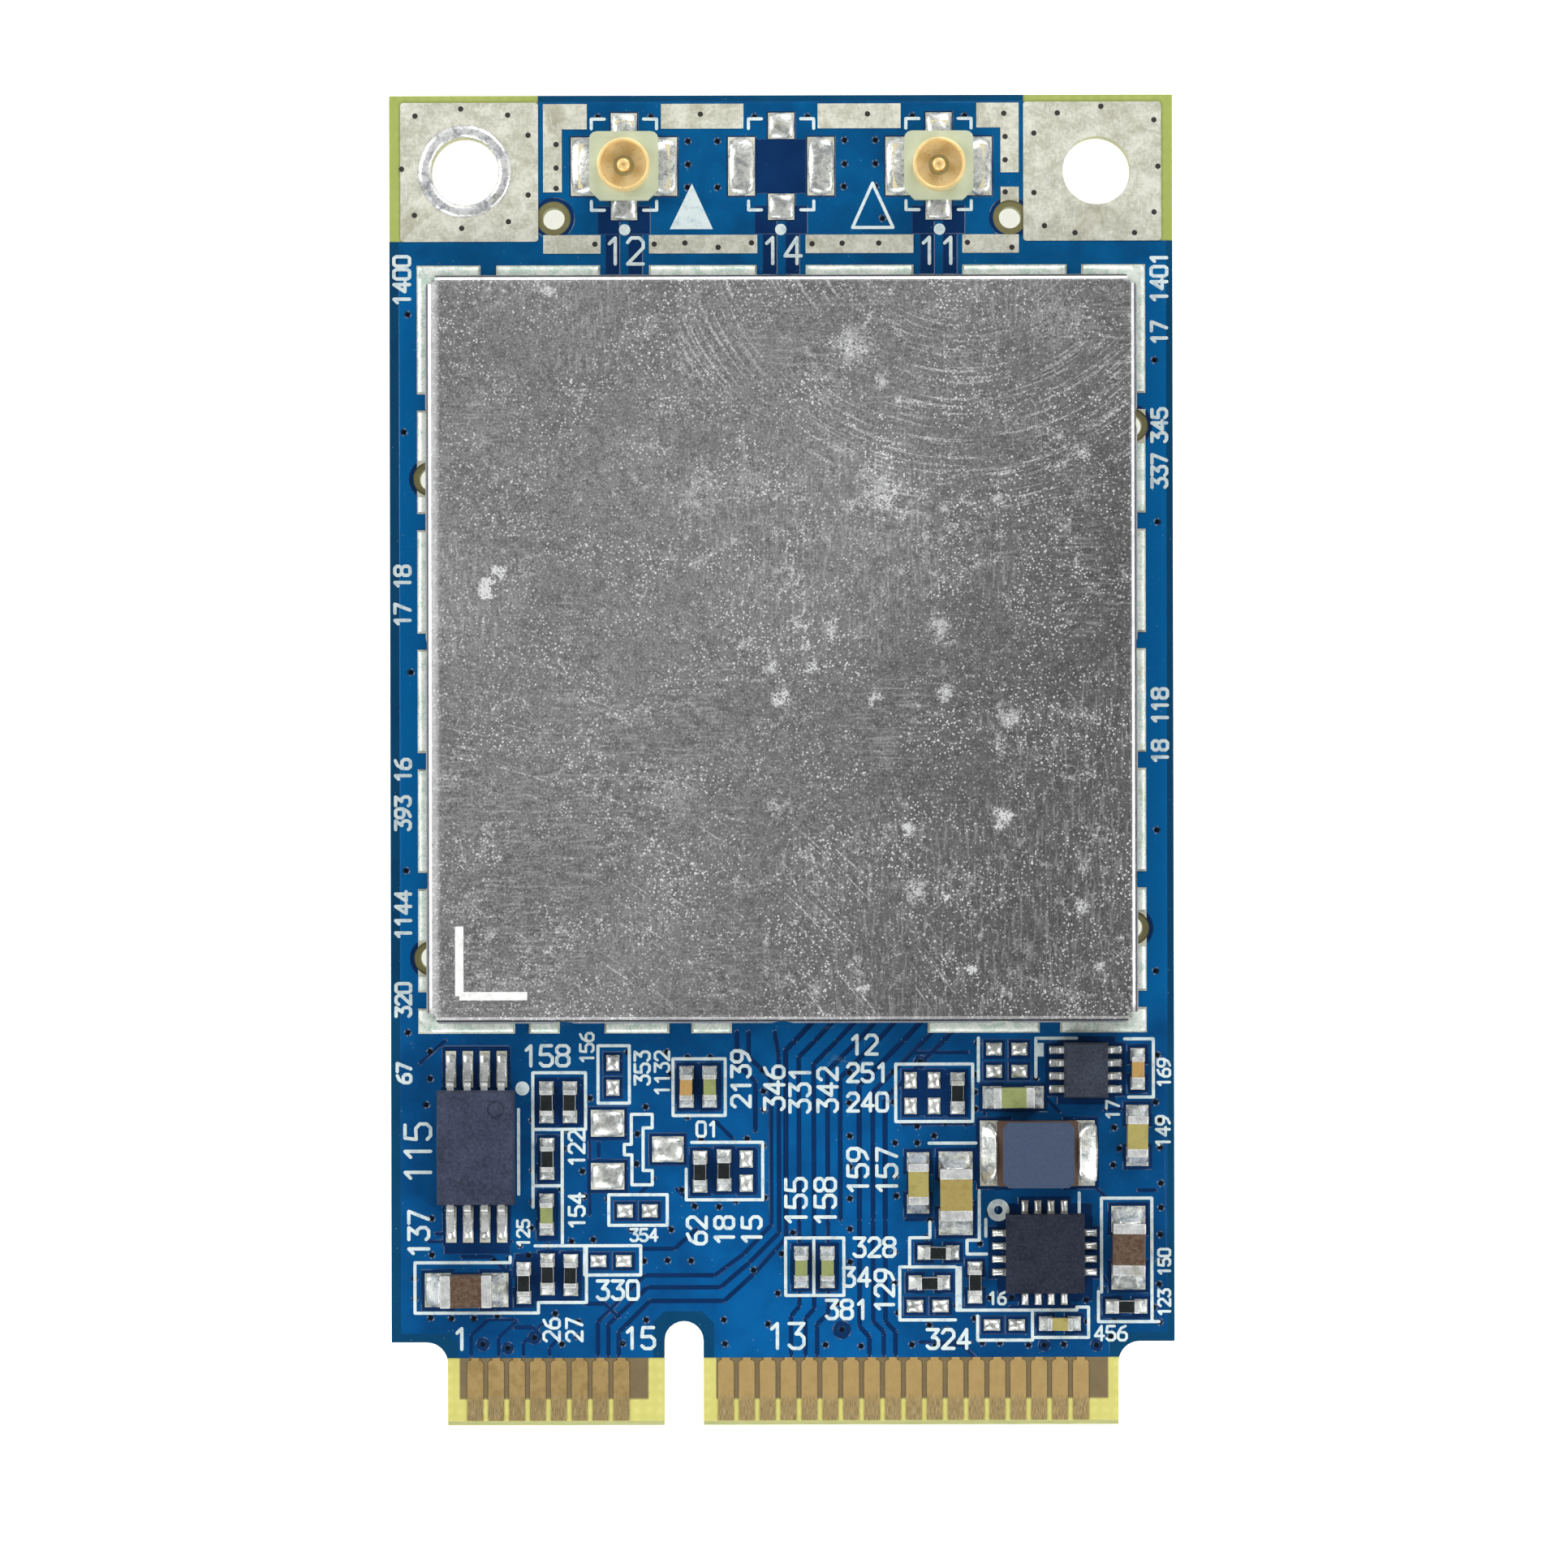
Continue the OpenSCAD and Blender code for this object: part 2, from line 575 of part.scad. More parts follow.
// The regulator's terminals: four a side, a little proud of the body, and the middle slug
module regulator_terminals() {
    half = regulator_size[0] / 2;
    for (turn = [0:90:270], i = [-1.5:1.5]) rotate(turn)
        translate([half - 0.38, i * 0.5 - 0.12, 0]) cube([0.4, 0.24, 0.2]);
    translate([-0.8, -0.8, 0]) cube([1.6, 1.6, 0.2]);
}

module regulator_chip() {
    color("dimgray") translate([regulator_at[0], regulator_at[1], pad_top]) difference() {
        translate([-regulator_size[0] / 2, -regulator_size[1] / 2, 0.02])
            cube([regulator_size[0], regulator_size[1], regulator_size[2] - 0.02]);
        translate([-0.94, 0.63, regulator_size[2] - 0.03]) cylinder(h = 1, r = 0.09);
        regulator_terminals();
    }
}

module regulator_pads() {
    color("silver") translate([regulator_at[0], regulator_at[1], pad_top]) regulator_terminals();
}

// ---------- inductor ----------

flange_t = 0.36;
end_t = 0.04;
post_r = 0.62;

module inductor_core() {
    top_w = inductor_size[0] - 0.5;
    color("saddlebrown") translate([inductor_at[0], inductor_at[1], pad_top + end_t]) {
        linear_extrude(flange_t) polygon(soft_rect(inductor_size[0] - 2 * end_t, inductor_size[1], 0.1));
        cylinder(h = inductor_size[2] - end_t, r = post_r);
        translate([0, 0, inductor_size[2] - end_t - flange_t]) linear_extrude(flange_t)
            polygon([for (s = [[1, 1], [-1, 1], [-1, -1], [1, -1]], k = [0, 1])
                let (first = s[0] * s[1] > 0 ? k == 0 : k == 1)
                [s[0] * (top_w / 2 - (first ? 0 : 0.2)), s[1] * (inductor_size[1] / 2 - (first ? 0.2 : 0))]]);
    }
}

// Wire wound on the post: one ridge for each turn
module inductor_coil() {
    wire = 0.15;
    room = inductor_size[2] - end_t - 2 * flange_t;
    turns = floor(room / wire);
    step = room / turns;
    color("chocolate") translate([inductor_at[0], inductor_at[1], pad_top + end_t + flange_t]) rotate_extrude() {
        translate([post_r, 0]) square([0.3, room]);
        for (i = [0:turns - 1]) translate([post_r + 0.3, (i + 0.5) * step]) circle(step / 2, $fn = 16);
    }
}

module inductor_ends() {
    color("silver") translate([inductor_at[0], inductor_at[1], pad_top]) for (s = [-1, 1]) {
        translate([s * (inductor_size[0] / 2 - 0.35), 0, end_t / 2]) cube([0.7, 2.3, end_t], center = true);
        translate([s * (inductor_size[0] / 2 - end_t / 2), 0, 0.16]) cube([end_t, 2.3, 0.32], center = true);
    }
}

// ---------- chip resistors and capacitors ----------

module chip_resistor(l, w, h) {
    cap = 0.22 * l;
    color("dimgray") translate([0, 0, 0.01]) soft_block([l - 0.04, w - 0.03, h - 0.02], 0.03);
    for (s = [-1, 1]) color("silver") intersection() {
        soft_block([l, w, h], 0.035);
        translate([s * (l / 2 - cap / 2), 0, h / 2]) cube([cap, w + 1, h + 1], center = true);
    }
}

module chip_capacitor(l, w, h, tint) {
    cap = l < 1.5 ? 0.25 : 0.4;
    color(tint) translate([0, 0, 0.02]) soft_block([l - 0.06, w - 0.05, h - 0.04], 0.05);
    for (s = [-1, 1]) color("silver") intersection() {
        soft_block([l, w, h], 0.08);
        translate([s * (l / 2 - cap / 2), 0, h / 2]) cube([cap, w + 1, h + 1], center = true);
    }
}

module resistor(i) {
    r = resistors[i - 1];
    translate([r[0], r[1], pad_top]) rotate(r[2]) chip_resistor(sizes[0][0], sizes[0][1], sizes[0][2]);
}

module capacitor(i) {
    c = capacitors[i - 1];
    s = sizes[c[3]];
    translate([c[0], c[1], pad_top]) rotate(c[2]) chip_capacitor(s[0], s[1], s[3], c[4]);
}

// ---------- under the can ----------

module mac_chip() {
    color("dimgray") translate([-5.6, -2.6, board_t]) difference() {
        moulded_body([10, 10, 1.1], 0.08);
        translate([-4.2, 4.2, 1.05]) cylinder(h = 1, r = 0.35);
    }
}

module radio_chip() {
    color("dimgray") translate([5.4, 0.4, board_t]) difference() {
        moulded_body([7, 7, 0.85], 0.03);
        translate([-2.9, 2.9, 0.8]) cylinder(h = 1, r = 0.25);
    }
}

module power_amp(x) {
    color("dimgray") translate([x, 10.4, board_t]) moulded_body([4, 4, 0.9], 0.03);
}

module power_amp_a() {
    power_amp(-6);
}

module power_amp_b() {
    power_amp(6.05);
}

module crystal() {
    color("silver") translate([5.4, -6.2, board_t]) {
        linear_extrude(0.35) polygon(soft_rect(3.2, 2.5, 0.2));
        translate([0, 0, 0.3]) linear_extrude(0.4) polygon(soft_rect(2.8, 2.1, 0.3));
    }
}

// Band filters in line with each antenna feed
module rf_filters() {
    color("white") for (x = [coax_sites[0], coax_sites[2]], y = [14.2, 16.2])
        translate([x, y, board_t]) soft_block([2, 1.25, 0.8], 0.05);
}

// Decoupling parts round the chips
module inner_passives() {
    color("tan") {
        for (i = [0:6]) translate([-10 + i * 1.5, 3.6, board_t]) soft_block([0.5, 1, 0.5], 0.04);
        for (i = [0:4]) translate([2.6 + i * 1.4, 5, board_t - 0]) soft_block([0.5, 1, 0.5], 0.04);
        for (s = [-1, 1], i = [0:3]) translate([s * 9.6, 8.8 + i * 1.2, board_t]) soft_block([1, 0.5, 0.5], 0.04);
    }
}

board();
solder_mask();
mounting_lands();
ground_bars();
shield_lands();
part_pads();
contacts_top();
contacts_bottom();
back_lands();
shield_fence();
shield_lid();
coax_base_part(coax_sites[0]);  // coax_a_base
coax_shell_part(coax_sites[0]);  // coax_a_shell
coax_pin_part(coax_sites[0]);  // coax_a_pin
coax_base_part(coax_sites[2]);  // coax_b_base
coax_shell_part(coax_sites[2]);  // coax_b_shell
coax_pin_part(coax_sites[2]);  // coax_b_pin
memory_chip();
memory_leads();
switch_chip();
switch_leads();
regulator_chip();
regulator_pads();
inductor_core();
inductor_coil();
inductor_ends();
mac_chip();
radio_chip();
power_amp_a();
power_amp_b();
crystal();
rf_filters();
inner_passives();
for (i = [1:13]) resistor(i);
for (i = [1:13]) capacitor(i);
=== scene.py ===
# %% [markdown]
# # Dressing a small radio card
#
# The card is a laptop's wifi module: a blue circuit board as long as a thumb, a folded tin can
# over the radio, two tiny gold sockets for the antenna leads and a row of gold contacts along one
# end. Its solids come ready made from the CAD model, in metres, and they fix every size and place.
# What is left for Blender is the surface: the varnish over the copper, the print, the solder and
# the wear.

# %% Load the solids
import math
import random

import bmesh
import bpy
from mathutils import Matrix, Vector
from mathutils.geometry import delaunay_2d_cdt


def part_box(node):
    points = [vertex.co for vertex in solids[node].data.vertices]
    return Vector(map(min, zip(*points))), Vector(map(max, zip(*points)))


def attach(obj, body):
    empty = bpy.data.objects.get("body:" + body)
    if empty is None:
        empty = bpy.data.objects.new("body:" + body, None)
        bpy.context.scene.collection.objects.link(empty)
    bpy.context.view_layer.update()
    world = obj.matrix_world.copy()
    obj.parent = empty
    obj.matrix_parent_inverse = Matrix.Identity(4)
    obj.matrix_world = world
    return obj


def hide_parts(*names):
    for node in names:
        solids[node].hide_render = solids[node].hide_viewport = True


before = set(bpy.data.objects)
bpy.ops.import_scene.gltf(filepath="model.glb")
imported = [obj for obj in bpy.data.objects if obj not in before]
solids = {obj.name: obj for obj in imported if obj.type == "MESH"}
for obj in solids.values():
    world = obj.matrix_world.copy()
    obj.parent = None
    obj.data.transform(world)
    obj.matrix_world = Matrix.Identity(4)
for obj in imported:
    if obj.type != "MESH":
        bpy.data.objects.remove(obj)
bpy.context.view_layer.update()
scene = bpy.context.scene
MM = 0.001
SIDES = (-1, 1)

# %% [markdown]
# ## Writing shader maths as Python
#
# Node trees are quick to draw by hand but slow to read in a script. `Wire` wraps one output socket
# and gives it the usual operators, so `1 - wear * 0.5` adds its Math nodes by itself. `Graph.node`
# adds any other node: its settings first, then what goes into its sockets. Both work in a material
# and in a Geometry Nodes tree, because the two share their Math nodes.

# %% A socket with operators
def plug(tree, socket, value):
    """Links a wire to a socket, or stores a plain value in it."""
    if isinstance(value, Wire):
        tree.links.new(value.socket, socket)
    else:
        socket.default_value = value


class Wire:
    def __init__(self, tree, socket):
        self.tree, self.socket = tree, socket

    def math(self, operation, *values):
        node = self.tree.nodes.new("ShaderNodeMath")
        node.operation = operation
        for socket, value in zip(node.inputs, values):
            plug(self.tree, socket, value)
        return Wire(self.tree, node.outputs[0])

    def __add__(self, other): return self.math("ADD", self, other)
    def __radd__(self, other): return self.math("ADD", other, self)
    def __sub__(self, other): return self.math("SUBTRACT", self, other)
    def __rsub__(self, other): return self.math("SUBTRACT", other, self)
    def __mul__(self, other): return self.math("MULTIPLY", self, other)
    def __rmul__(self, other): return self.math("MULTIPLY", other, self)
    def __pow__(self, other): return self.math("POWER", self, other)
    def __abs__(self): return self.math("ABSOLUTE", self)
    def above(self, other): return self.math("GREATER_THAN", self, other)
    def below(self, other): return self.math("LESS_THAN", self, other)
    def least(self, other): return self.math("MINIMUM", self, other)
    def most(self, other): return self.math("MAXIMUM", self, other)


class Graph:
    def __init__(self, tree):
        self.tree = tree

    def node(self, kind, settings=None, sockets=None, out=0):
        node = self.tree.nodes.new(kind)
        for name, value in (settings or {}).items():
            if name == "stops":
                ramp = node.color_ramp
                while len(ramp.elements) < len(value):
                    ramp.elements.new(1)
                for stop, (place, colour) in zip(ramp.elements, value):
                    stop.position, stop.color = place, (*colour, 1)
            else:
                setattr(node, name, value)
        for name, value in (sockets or {}).items():
            plug(self.tree, node.inputs[name], value)
        return Wire(self.tree, node.outputs[out])

    def axes(self, vector):
        return [self.node("ShaderNodeSeparateXYZ", None, {0: vector}, axis) for axis in "XYZ"]

    def vector(self, x=0.0, y=0.0, z=0.0):
        return self.node("ShaderNodeCombineXYZ", None, {"X": x, "Y": y, "Z": z})

    def vector_math(self, operation, *values, out="Vector"):
        return self.node("ShaderNodeVectorMath", {"operation": operation},
                         dict(enumerate(values)), out)


# %% A material that is drawn in millimetres
class Finish(Graph):
    """A Principled material. Numbers that are the same all over are named when it is made."""

    def __init__(self, name, **same_all_over):
        self.material = bpy.data.materials.new(name)
        self.material.use_nodes = True
        super().__init__(self.material.node_tree)
        self.tree.nodes.clear()
        self.shader = self.tree.nodes.new("ShaderNodeBsdfPrincipled")
        output = self.tree.nodes.new("ShaderNodeOutputMaterial")
        self.tree.links.new(self.shader.outputs[0], output.inputs["Surface"])
        for key, value in same_all_over.items():
            self.shader.inputs[key.replace("_", " ")].default_value = value
        place = self.node("ShaderNodeTexCoord", out="Object")
        self.mm = self.node("ShaderNodeVectorMath", {"operation": "SCALE"},
                            {0: place, "Scale": 1 / MM})
        self.x, self.y, self.z = self.axes(self.mm)

    def noise(self, scale, detail=3.0, rough=0.55, at=None, twist=0.0, out="Fac"):
        return self.node("ShaderNodeTexNoise", None, {"Vector": at or self.mm, "Scale": scale,
                         "Detail": detail, "Roughness": rough, "Distortion": twist}, out)

    def cells(self, scale):
        """How far the nearest of many scattered points is, in cells."""
        return self.node("ShaderNodeTexVoronoi", None,
                         {"Vector": self.mm, "Scale": scale}, "Distance")

    def reach(self, x, y, z, at=None):
        """How far a fixed point is, in millimetres."""
        return self.vector_math("DISTANCE", at or self.mm, (x, y, z), out="Value")

    def stretch(self, x, y, z=1.0, turn=0.0):
        """Object millimetres scaled along each axis, for scratches and fibres."""
        return self.node("ShaderNodeMapping", None, {"Vector": self.mm, "Scale": (x, y, z),
                         "Rotation": (0, 0, math.radians(turn))})

    def fade(self, value, low, high):
        """0 below low, 1 above high, with a soft slope between."""
        return self.node("ShaderNodeMapRange", {"interpolation_type": "SMOOTHSTEP"},
                         {"Value": value, "From Min": low, "From Max": high})

    def mix(self, factor, a, b):
        a, b = ((*c, 1) if isinstance(c, tuple) and len(c) == 3 else c for c in (a, b))
        return self.node("ShaderNodeMix", {"data_type": "RGBA"}, {0: factor, 6: a, 7: b}, 2)

    def attribute(self, name, out="Fac"):
        return self.node("ShaderNodeAttribute", {"attribute_name": name}, None, out)

    def facing(self, axis):
        normal = self.node("ShaderNodeNewGeometry", out="Normal")
        return self.node("ShaderNodeSeparateXYZ", None, {0: normal}, axis)

    def dress(self, colour, rough, metal=None, height=None, depth=None):
        """Wires the finished patterns to the shader. depth is the bump's height in millimetres."""
        plug(self.tree, self.shader.inputs["Base Color"], colour)
        for name, value in (("Roughness", rough), ("Metallic", metal)):
            if value is not None:
                plug(self.tree, self.shader.inputs[name], value)
        if height is not None:
            bump = self.node("ShaderNodeBump", None, {"Height": height, "Distance": depth * MM})
            plug(self.tree, self.shader.inputs["Normal"], bump)
        return self.material


print("helpers ready")

# %% [markdown]
# ## Flat outlines
#
# Nearly everything on a circuit board is a flat shape with a tiny height: varnish, tracks, print.
# Such shapes are drawn here as lists of points in millimetres. `arrange` lays any number of them
# over each other and cuts the plane into triangles, each of which knows which outlines it lies in.
# One call then answers what would otherwise take dozens of boolean modifiers.

# %% Outlines
def rect(x0, y0, x1, y1):
    (x0, x1), (y0, y1) = sorted((x0, x1)), sorted((y0, y1))
    return [(x0, y0), (x1, y0), (x1, y1), (x0, y1)]


def box_at(x, y, w, h):
    return rect(x - w / 2, y - h / 2, x + w / 2, y + h / 2)


def disc(x, y, r, n=12):
    angles = [i * math.tau / n for i in range(n)]
    return [(x + r * math.cos(a), y + r * math.sin(a)) for a in angles]


def arc(x, y, r, start, end, n=8):
    angles = [math.radians(start + (end - start) * i / n) for i in range(n + 1)]
    return [(x + r * math.cos(a), y + r * math.sin(a)) for a in angles]


def stroke(points, width):
    """The outlines of a drawn line: one plank for each side and a small disc at each bend."""
    planks = []
    for (ax, ay), (bx, by) in zip(points, points[1:]):
        run = math.hypot(bx - ax, by - ay)
        ux, uy = (bx - ax) / run * width / 2, (by - ay) / run * width / 2
        planks.append([(ax - uy, ay + ux), (ax + uy, ay - ux),
                       (bx + uy, by - ux), (bx - uy, by + ux)])
    return planks + [disc(x, y, width / 2, 8) for x, y in points]


def area(outline):
    return sum(a[0] * b[1] - b[0] * a[1] for a, b in zip(outline, outline[1:] + outline[:1])) / 2


def arrange(outlines):
    """Returns the points, the triangles and, for each triangle, the outlines that it lies in."""
    points, faces = [], []
    for outline in outlines:
        outline = outline if area(outline) > 0 else outline[::-1]
        faces.append(list(range(len(points), len(points) + len(outline))))
        points += [Vector(p) for p in outline]
    points, _, triangles, _, _, inside = delaunay_2d_cdt(points, [], faces, 1, 1e-4)
    held = [(t, set(i)) for t, i in zip(triangles, inside) if i]
    return [tuple(p) for p in points], [t for t, _ in held], [i for _, i in held]


def borders(triangles):
    """The directed sides that only one of the triangles has."""
    sides = {(t[i], t[(i + 1) % 3]) for t in triangles for i in range(3)}
    return [s for s in sides if (s[1], s[0]) not in sides]


# %% Meshes from points in millimetres
def mesh_of(name, points, edges=(), faces=()):
    mesh = bpy.data.meshes.new(name)
    mesh.from_pydata([tuple(c * MM for c in p) for p in points], edges, faces)
    return mesh


def placed(name, data):
    """Puts a mesh, a lamp or a camera into the scene."""
    thing = bpy.data.objects.new(name, data)
    scene.collection.objects.link(thing)
    return thing


def new_piece(name, points, faces, material, attributes=None):
    """Makes a piece of the card, and gives it a material and a body to ride on."""
    mesh = mesh_of(name, points, faces=faces)
    mesh.materials.append(material)
    for label, values in (attributes or {}).items():
        mesh.attributes.new(label, "FLOAT", "FACE").data.foreach_set("value", values)
    piece = placed(name, mesh)
    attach(piece, "root")
    print(name, len(mesh.polygons), "faces")
    return piece


def flat_piece(name, outlines, low, high, material):
    """A closed plate of the given outlines, melted together."""
    points, triangles, _ = arrange(outlines)
    n = len(points)
    solid = [(*p, high) for p in points] + [(*p, low) for p in points]
    faces = [tuple(t) for t in triangles] + [tuple(i + n for i in t[::-1]) for t in triangles]
    faces += [(a, a + n, b + n, b)[::-1] for a, b in borders(triangles)]
    return new_piece(name, solid, faces, material)


# %% [markdown]
# ## The layout of the card
#
# All places are in millimetres from the middle of the card. X runs across it and Y towards the
# antenna end. The board, the can and the chips are known from the solids, so only what lies on
# them is listed.

# %% Board, lands and pads
low, high = (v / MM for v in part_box("board"))
edge_x, edge_y, far_y, core_top = high.x, low.y, high.y, high.z
resist_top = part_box("solder_mask")[1].z / MM
pad_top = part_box("part_pads")[1].z / MM
resist_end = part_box("solder_mask")[0].y / MM
lid_top = (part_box("shield_lid")[1] / MM).z

TONGUE_W, TONGUE_H, HOLLOW_R = 25.7, 3.2, 0.8
KEY_X, KEY_W, KEY_H = -3.8, 1.5, 4.0
SCREW_HOLE = (-12.1, 22.575)
TOOL_HOLES = [(-8.7, 20.77), (8.78, 20.78), (-13.45, 10.8), (-13.45, -7.56), (13.4, 12.8),
              (13.4, -6.45)]
CORNER = (9.29, 19.88)
SITES = [-6, 0.02, 6.05]
SITE_Y = 22.75
CAN_Y = 4.26
RING_W, RING_L, RING_T = 27.9, 29.42, 0.9
SIDE_GAPS = [13.73 - 4.58 * i for i in range(6)]
TOP_GAPS = [(-11.5, -10.9), (-6.92, -5.05), (-0.92, 0.95), (5.08, 6.95), (10.95, 11.5)]
BOTTOM_GAPS = [(-10.24, -9.71), (-8.53, -6.82), (-4.33, -3.49), (-1.94, 5.56), (9.85, 10.63)]
BARS = [(-9.1, 24.18, -7.42, 25.15), (-9.1, 21.77, -8.38, 24.18), (-4.58, 24.2, -1.42, 25.15),
        (1.42, 24.2, 4.6, 25.15), (7.5, 24.22, 9.12, 25.17), (8.42, 22.5, 9.12, 24.22),
        (8.42, 21.3, 9.12, 21.95), (-9.1, 19.42, -6.9, 20.13), (-5.05, 19.42, -0.9, 20.13),
        (0.95, 19.42, 5.08, 20.13), (6.95, 19.42, 9.12, 20.13)]


def board_outline(bottom=edge_y):
    """The card's outline, or the part of it above a line across the tongue."""
    half, tongue_y = TONGUE_W / 2, edge_y + TONGUE_H
    middle = edge_y + KEY_H - KEY_W / 2
    left, right = (arc(s * (half + HOLLOW_R), tongue_y - HOLLOW_R, HOLLOW_R, 90, 90 + s * 90)
                   for s in SIDES)
    if bottom > edge_y:
        left, right = ([(x, max(y, bottom)) for x, y in hollow if y > bottom - 0.15]
                       for hollow in (left, right))
    return ([(-edge_x, far_y), (-edge_x, tongue_y)] + left
            + [(left[-1][0], bottom), (KEY_X - KEY_W / 2, bottom)]
            + arc(KEY_X, middle, KEY_W / 2, 180, 0, 12)
            + [(KEY_X + KEY_W / 2, bottom), (right[-1][0], bottom)]
            + right[::-1] + [(edge_x, tongue_y), (edge_x, far_y)])


# %% Small parts as x, y, quarter turns and size
RESISTORS = [(-9.05, -13.08, 1), (-8.15, -13.08, 1), (-9.03, -15.25, 1), (-9.93, -20, 1),
             (-9.02, -19.67, 1), (-8.13, -19.7, 1), (-3.17, -15.75, 1), (-2.25, -15.7, 1),
             (6.7, -12.77, 1), (5.95, -18.87, 0), (5.6, -20.02, 0), (7.35, -20.02, 1),
             (13.15, -20.95, 0)]
OLIVE, TAN, GOLD = (0.23, 0.27, 0.092), (0.31, 0.235, 0.062), (0.34, 0.29, 0.080)
AMBER, BROWN = (0.40, 0.235, 0.066), (0.070, 0.034, 0.022)
CAPACITORS = [(-9.05, -17.38, 1, 0, OLIVE), (-3.68, -12.5, 1, 0, AMBER), (-2.8, -12.5, 1, 0, OLIVE),
              (0.7, -19.42, 1, 0, OLIVE), (1.7, -19.42, 1, 0, OLIVE), (10.6, -21.6, 0, 0, GOLD),
              (13.6, -11.85, 1, 0, AMBER), (5.18, -16.2, 1, 1, GOLD), (13.58, -14.4, 1, 1, GOLD),
              (8.83, -12.93, 0, 1, OLIVE), (6.62, -16.6, 1, 2, TAN), (13.23, -18.7, 1, 2, BROWN),
              (-12.12, -20.27, 0, 2, BROWN)]
RESISTOR_SIZE = (1, 0.5, 0.35)
CAPACITOR_SIZES = [(1, 0.5, 0.5), (1.6, 0.8, 0.8), (2, 1.25, 1.05)]
PAD_REACH, PAD_INNER, PAD_EXTRA = [0.8, 1.17, 1.6], [0.3, 0.45, 0.6], 0.05
EMPTY_PADS = [(-6.5, -11.58, 0.5, 0.6), (-6.5, -12.53, 0.5, 0.6), (-6.71, -13.89, 1.28, 1.02),
              (-6.71, -15.92, 1.28, 1.02), (-4.4, -14.89, 1.2, 0.98), (-6.05, -17.25, 0.6, 0.5),
              (-5.1, -17.25, 0.6, 0.5), (-1.4, -15.27, 0.5, 0.65), (-1.4, -16.2, 0.5, 0.65),
              (-7.07, -19.17, 0.6, 0.45), (-6.1, -19.17, 0.6, 0.45), (4.9, -12.27, 0.47, 0.62),
              (5.8, -12.27, 0.47, 0.62), (4.9, -13.25, 0.47, 0.62), (5.8, -13.25, 0.47, 0.62),
              (8.1, -11.08, 0.6, 0.48), (9.07, -11.08, 0.6, 0.48), (8.1, -11.93, 0.6, 0.48),
              (9.07, -11.93, 0.6, 0.48), (5.05, -20.92, 0.62, 0.47), (6.03, -20.92, 0.62, 0.47),
              (8, -21.65, 0.62, 0.43), (8.95, -21.65, 0.62, 0.43)]
MEMORY_X, MEMORY_Y, MEMORY_PITCH = -11.73, -14.78, 0.65
SWITCH_X, SWITCH_Y, SWITCH_PITCH = 11.6, -11.87, 0.5
REGULATOR_X, REGULATOR_Y, REGULATOR_PITCH = 10.02, -18.88, 0.5
INDUCTOR_X, INDUCTOR_Y = 9.75, -15.07
STEPS = (-1.5, -0.5, 0.5, 1.5)


def chip_pads(x, y, turn, size):
    """The two pads of a small chip as (x, y, length along the part, width, direction)."""
    reach, inner = PAD_REACH[size], PAD_INNER[size]
    middle, length, width = (reach + inner) / 2, reach - inner, CAPACITOR_SIZES[size][1] + PAD_EXTRA
    dx, dy = (0, middle) if turn else (middle, 0)
    return [(x + s * dx, y + s * dy, length, width, math.radians(90 * turn + (0 if s > 0 else 180)))
            for s in (1, -1)]


chips = [(*r, 0) for r in RESISTORS] + [c[:4] for c in CAPACITORS]
# the pads beside and beyond a receptacle: how far from its middle, width and height
COAX_SIDE, COAX_END = (1.52, 1.03, 2.24), (1.55, 1, 1)
coax_pads = [(x + dx, SITE_Y + dy, *size) for x in SITES for dx, dy, size in
             ((-COAX_SIDE[0], 0, COAX_SIDE[1:]), (COAX_SIDE[0], 0, COAX_SIDE[1:]),
              (0, COAX_END[0], COAX_END[1:]), (0, -COAX_END[0], COAX_END[1:]))]
rows = [(i, s) for i in STEPS for s in SIDES]
plain_pads = coax_pads + EMPTY_PADS
plain_pads += [(MEMORY_X + i * MEMORY_PITCH, MEMORY_Y + s * 2.97, 0.4, 1.4) for i, s in rows]
plain_pads += [(SWITCH_X + s * 1.1, SWITCH_Y + i * SWITCH_PITCH, 0.56, 0.29) for i, s in rows]
plain_pads += [(REGULATOR_X + s * 1.7, REGULATOR_Y + i * REGULATOR_PITCH, 0.6, 0.26)
               for i, s in rows]
plain_pads += [(REGULATOR_X + i * REGULATOR_PITCH, REGULATOR_Y + s * 1.7, 0.26, 0.6)
               for i, s in rows]
plain_pads += [(INDUCTOR_X + s * 1.65, INDUCTOR_Y, 1.1, 2.5) for s in SIDES]


def upright(pad):
    """A chip pad as a plain (x, y, w, h)."""
    x, y, length, width, way = pad
    return (x, y, length, width) if abs(math.cos(way)) > 0.5 else (x, y, width, length)


all_pads = plain_pads + [upright(pad) for chip in chips for pad in chip_pads(*chip)]
print(len(all_pads), "pads")

# %% [markdown]
# ### Plated holes, tracks and bare patches
#
# The blue varnish looks light where copper lies under it and almost black where the copper has
# been etched away. So the dark lines between the tracks are what is drawn, as the etcher would
# draw them. The plated through holes are only a fifth of a millimetre across, and the varnish
# sinks into them.

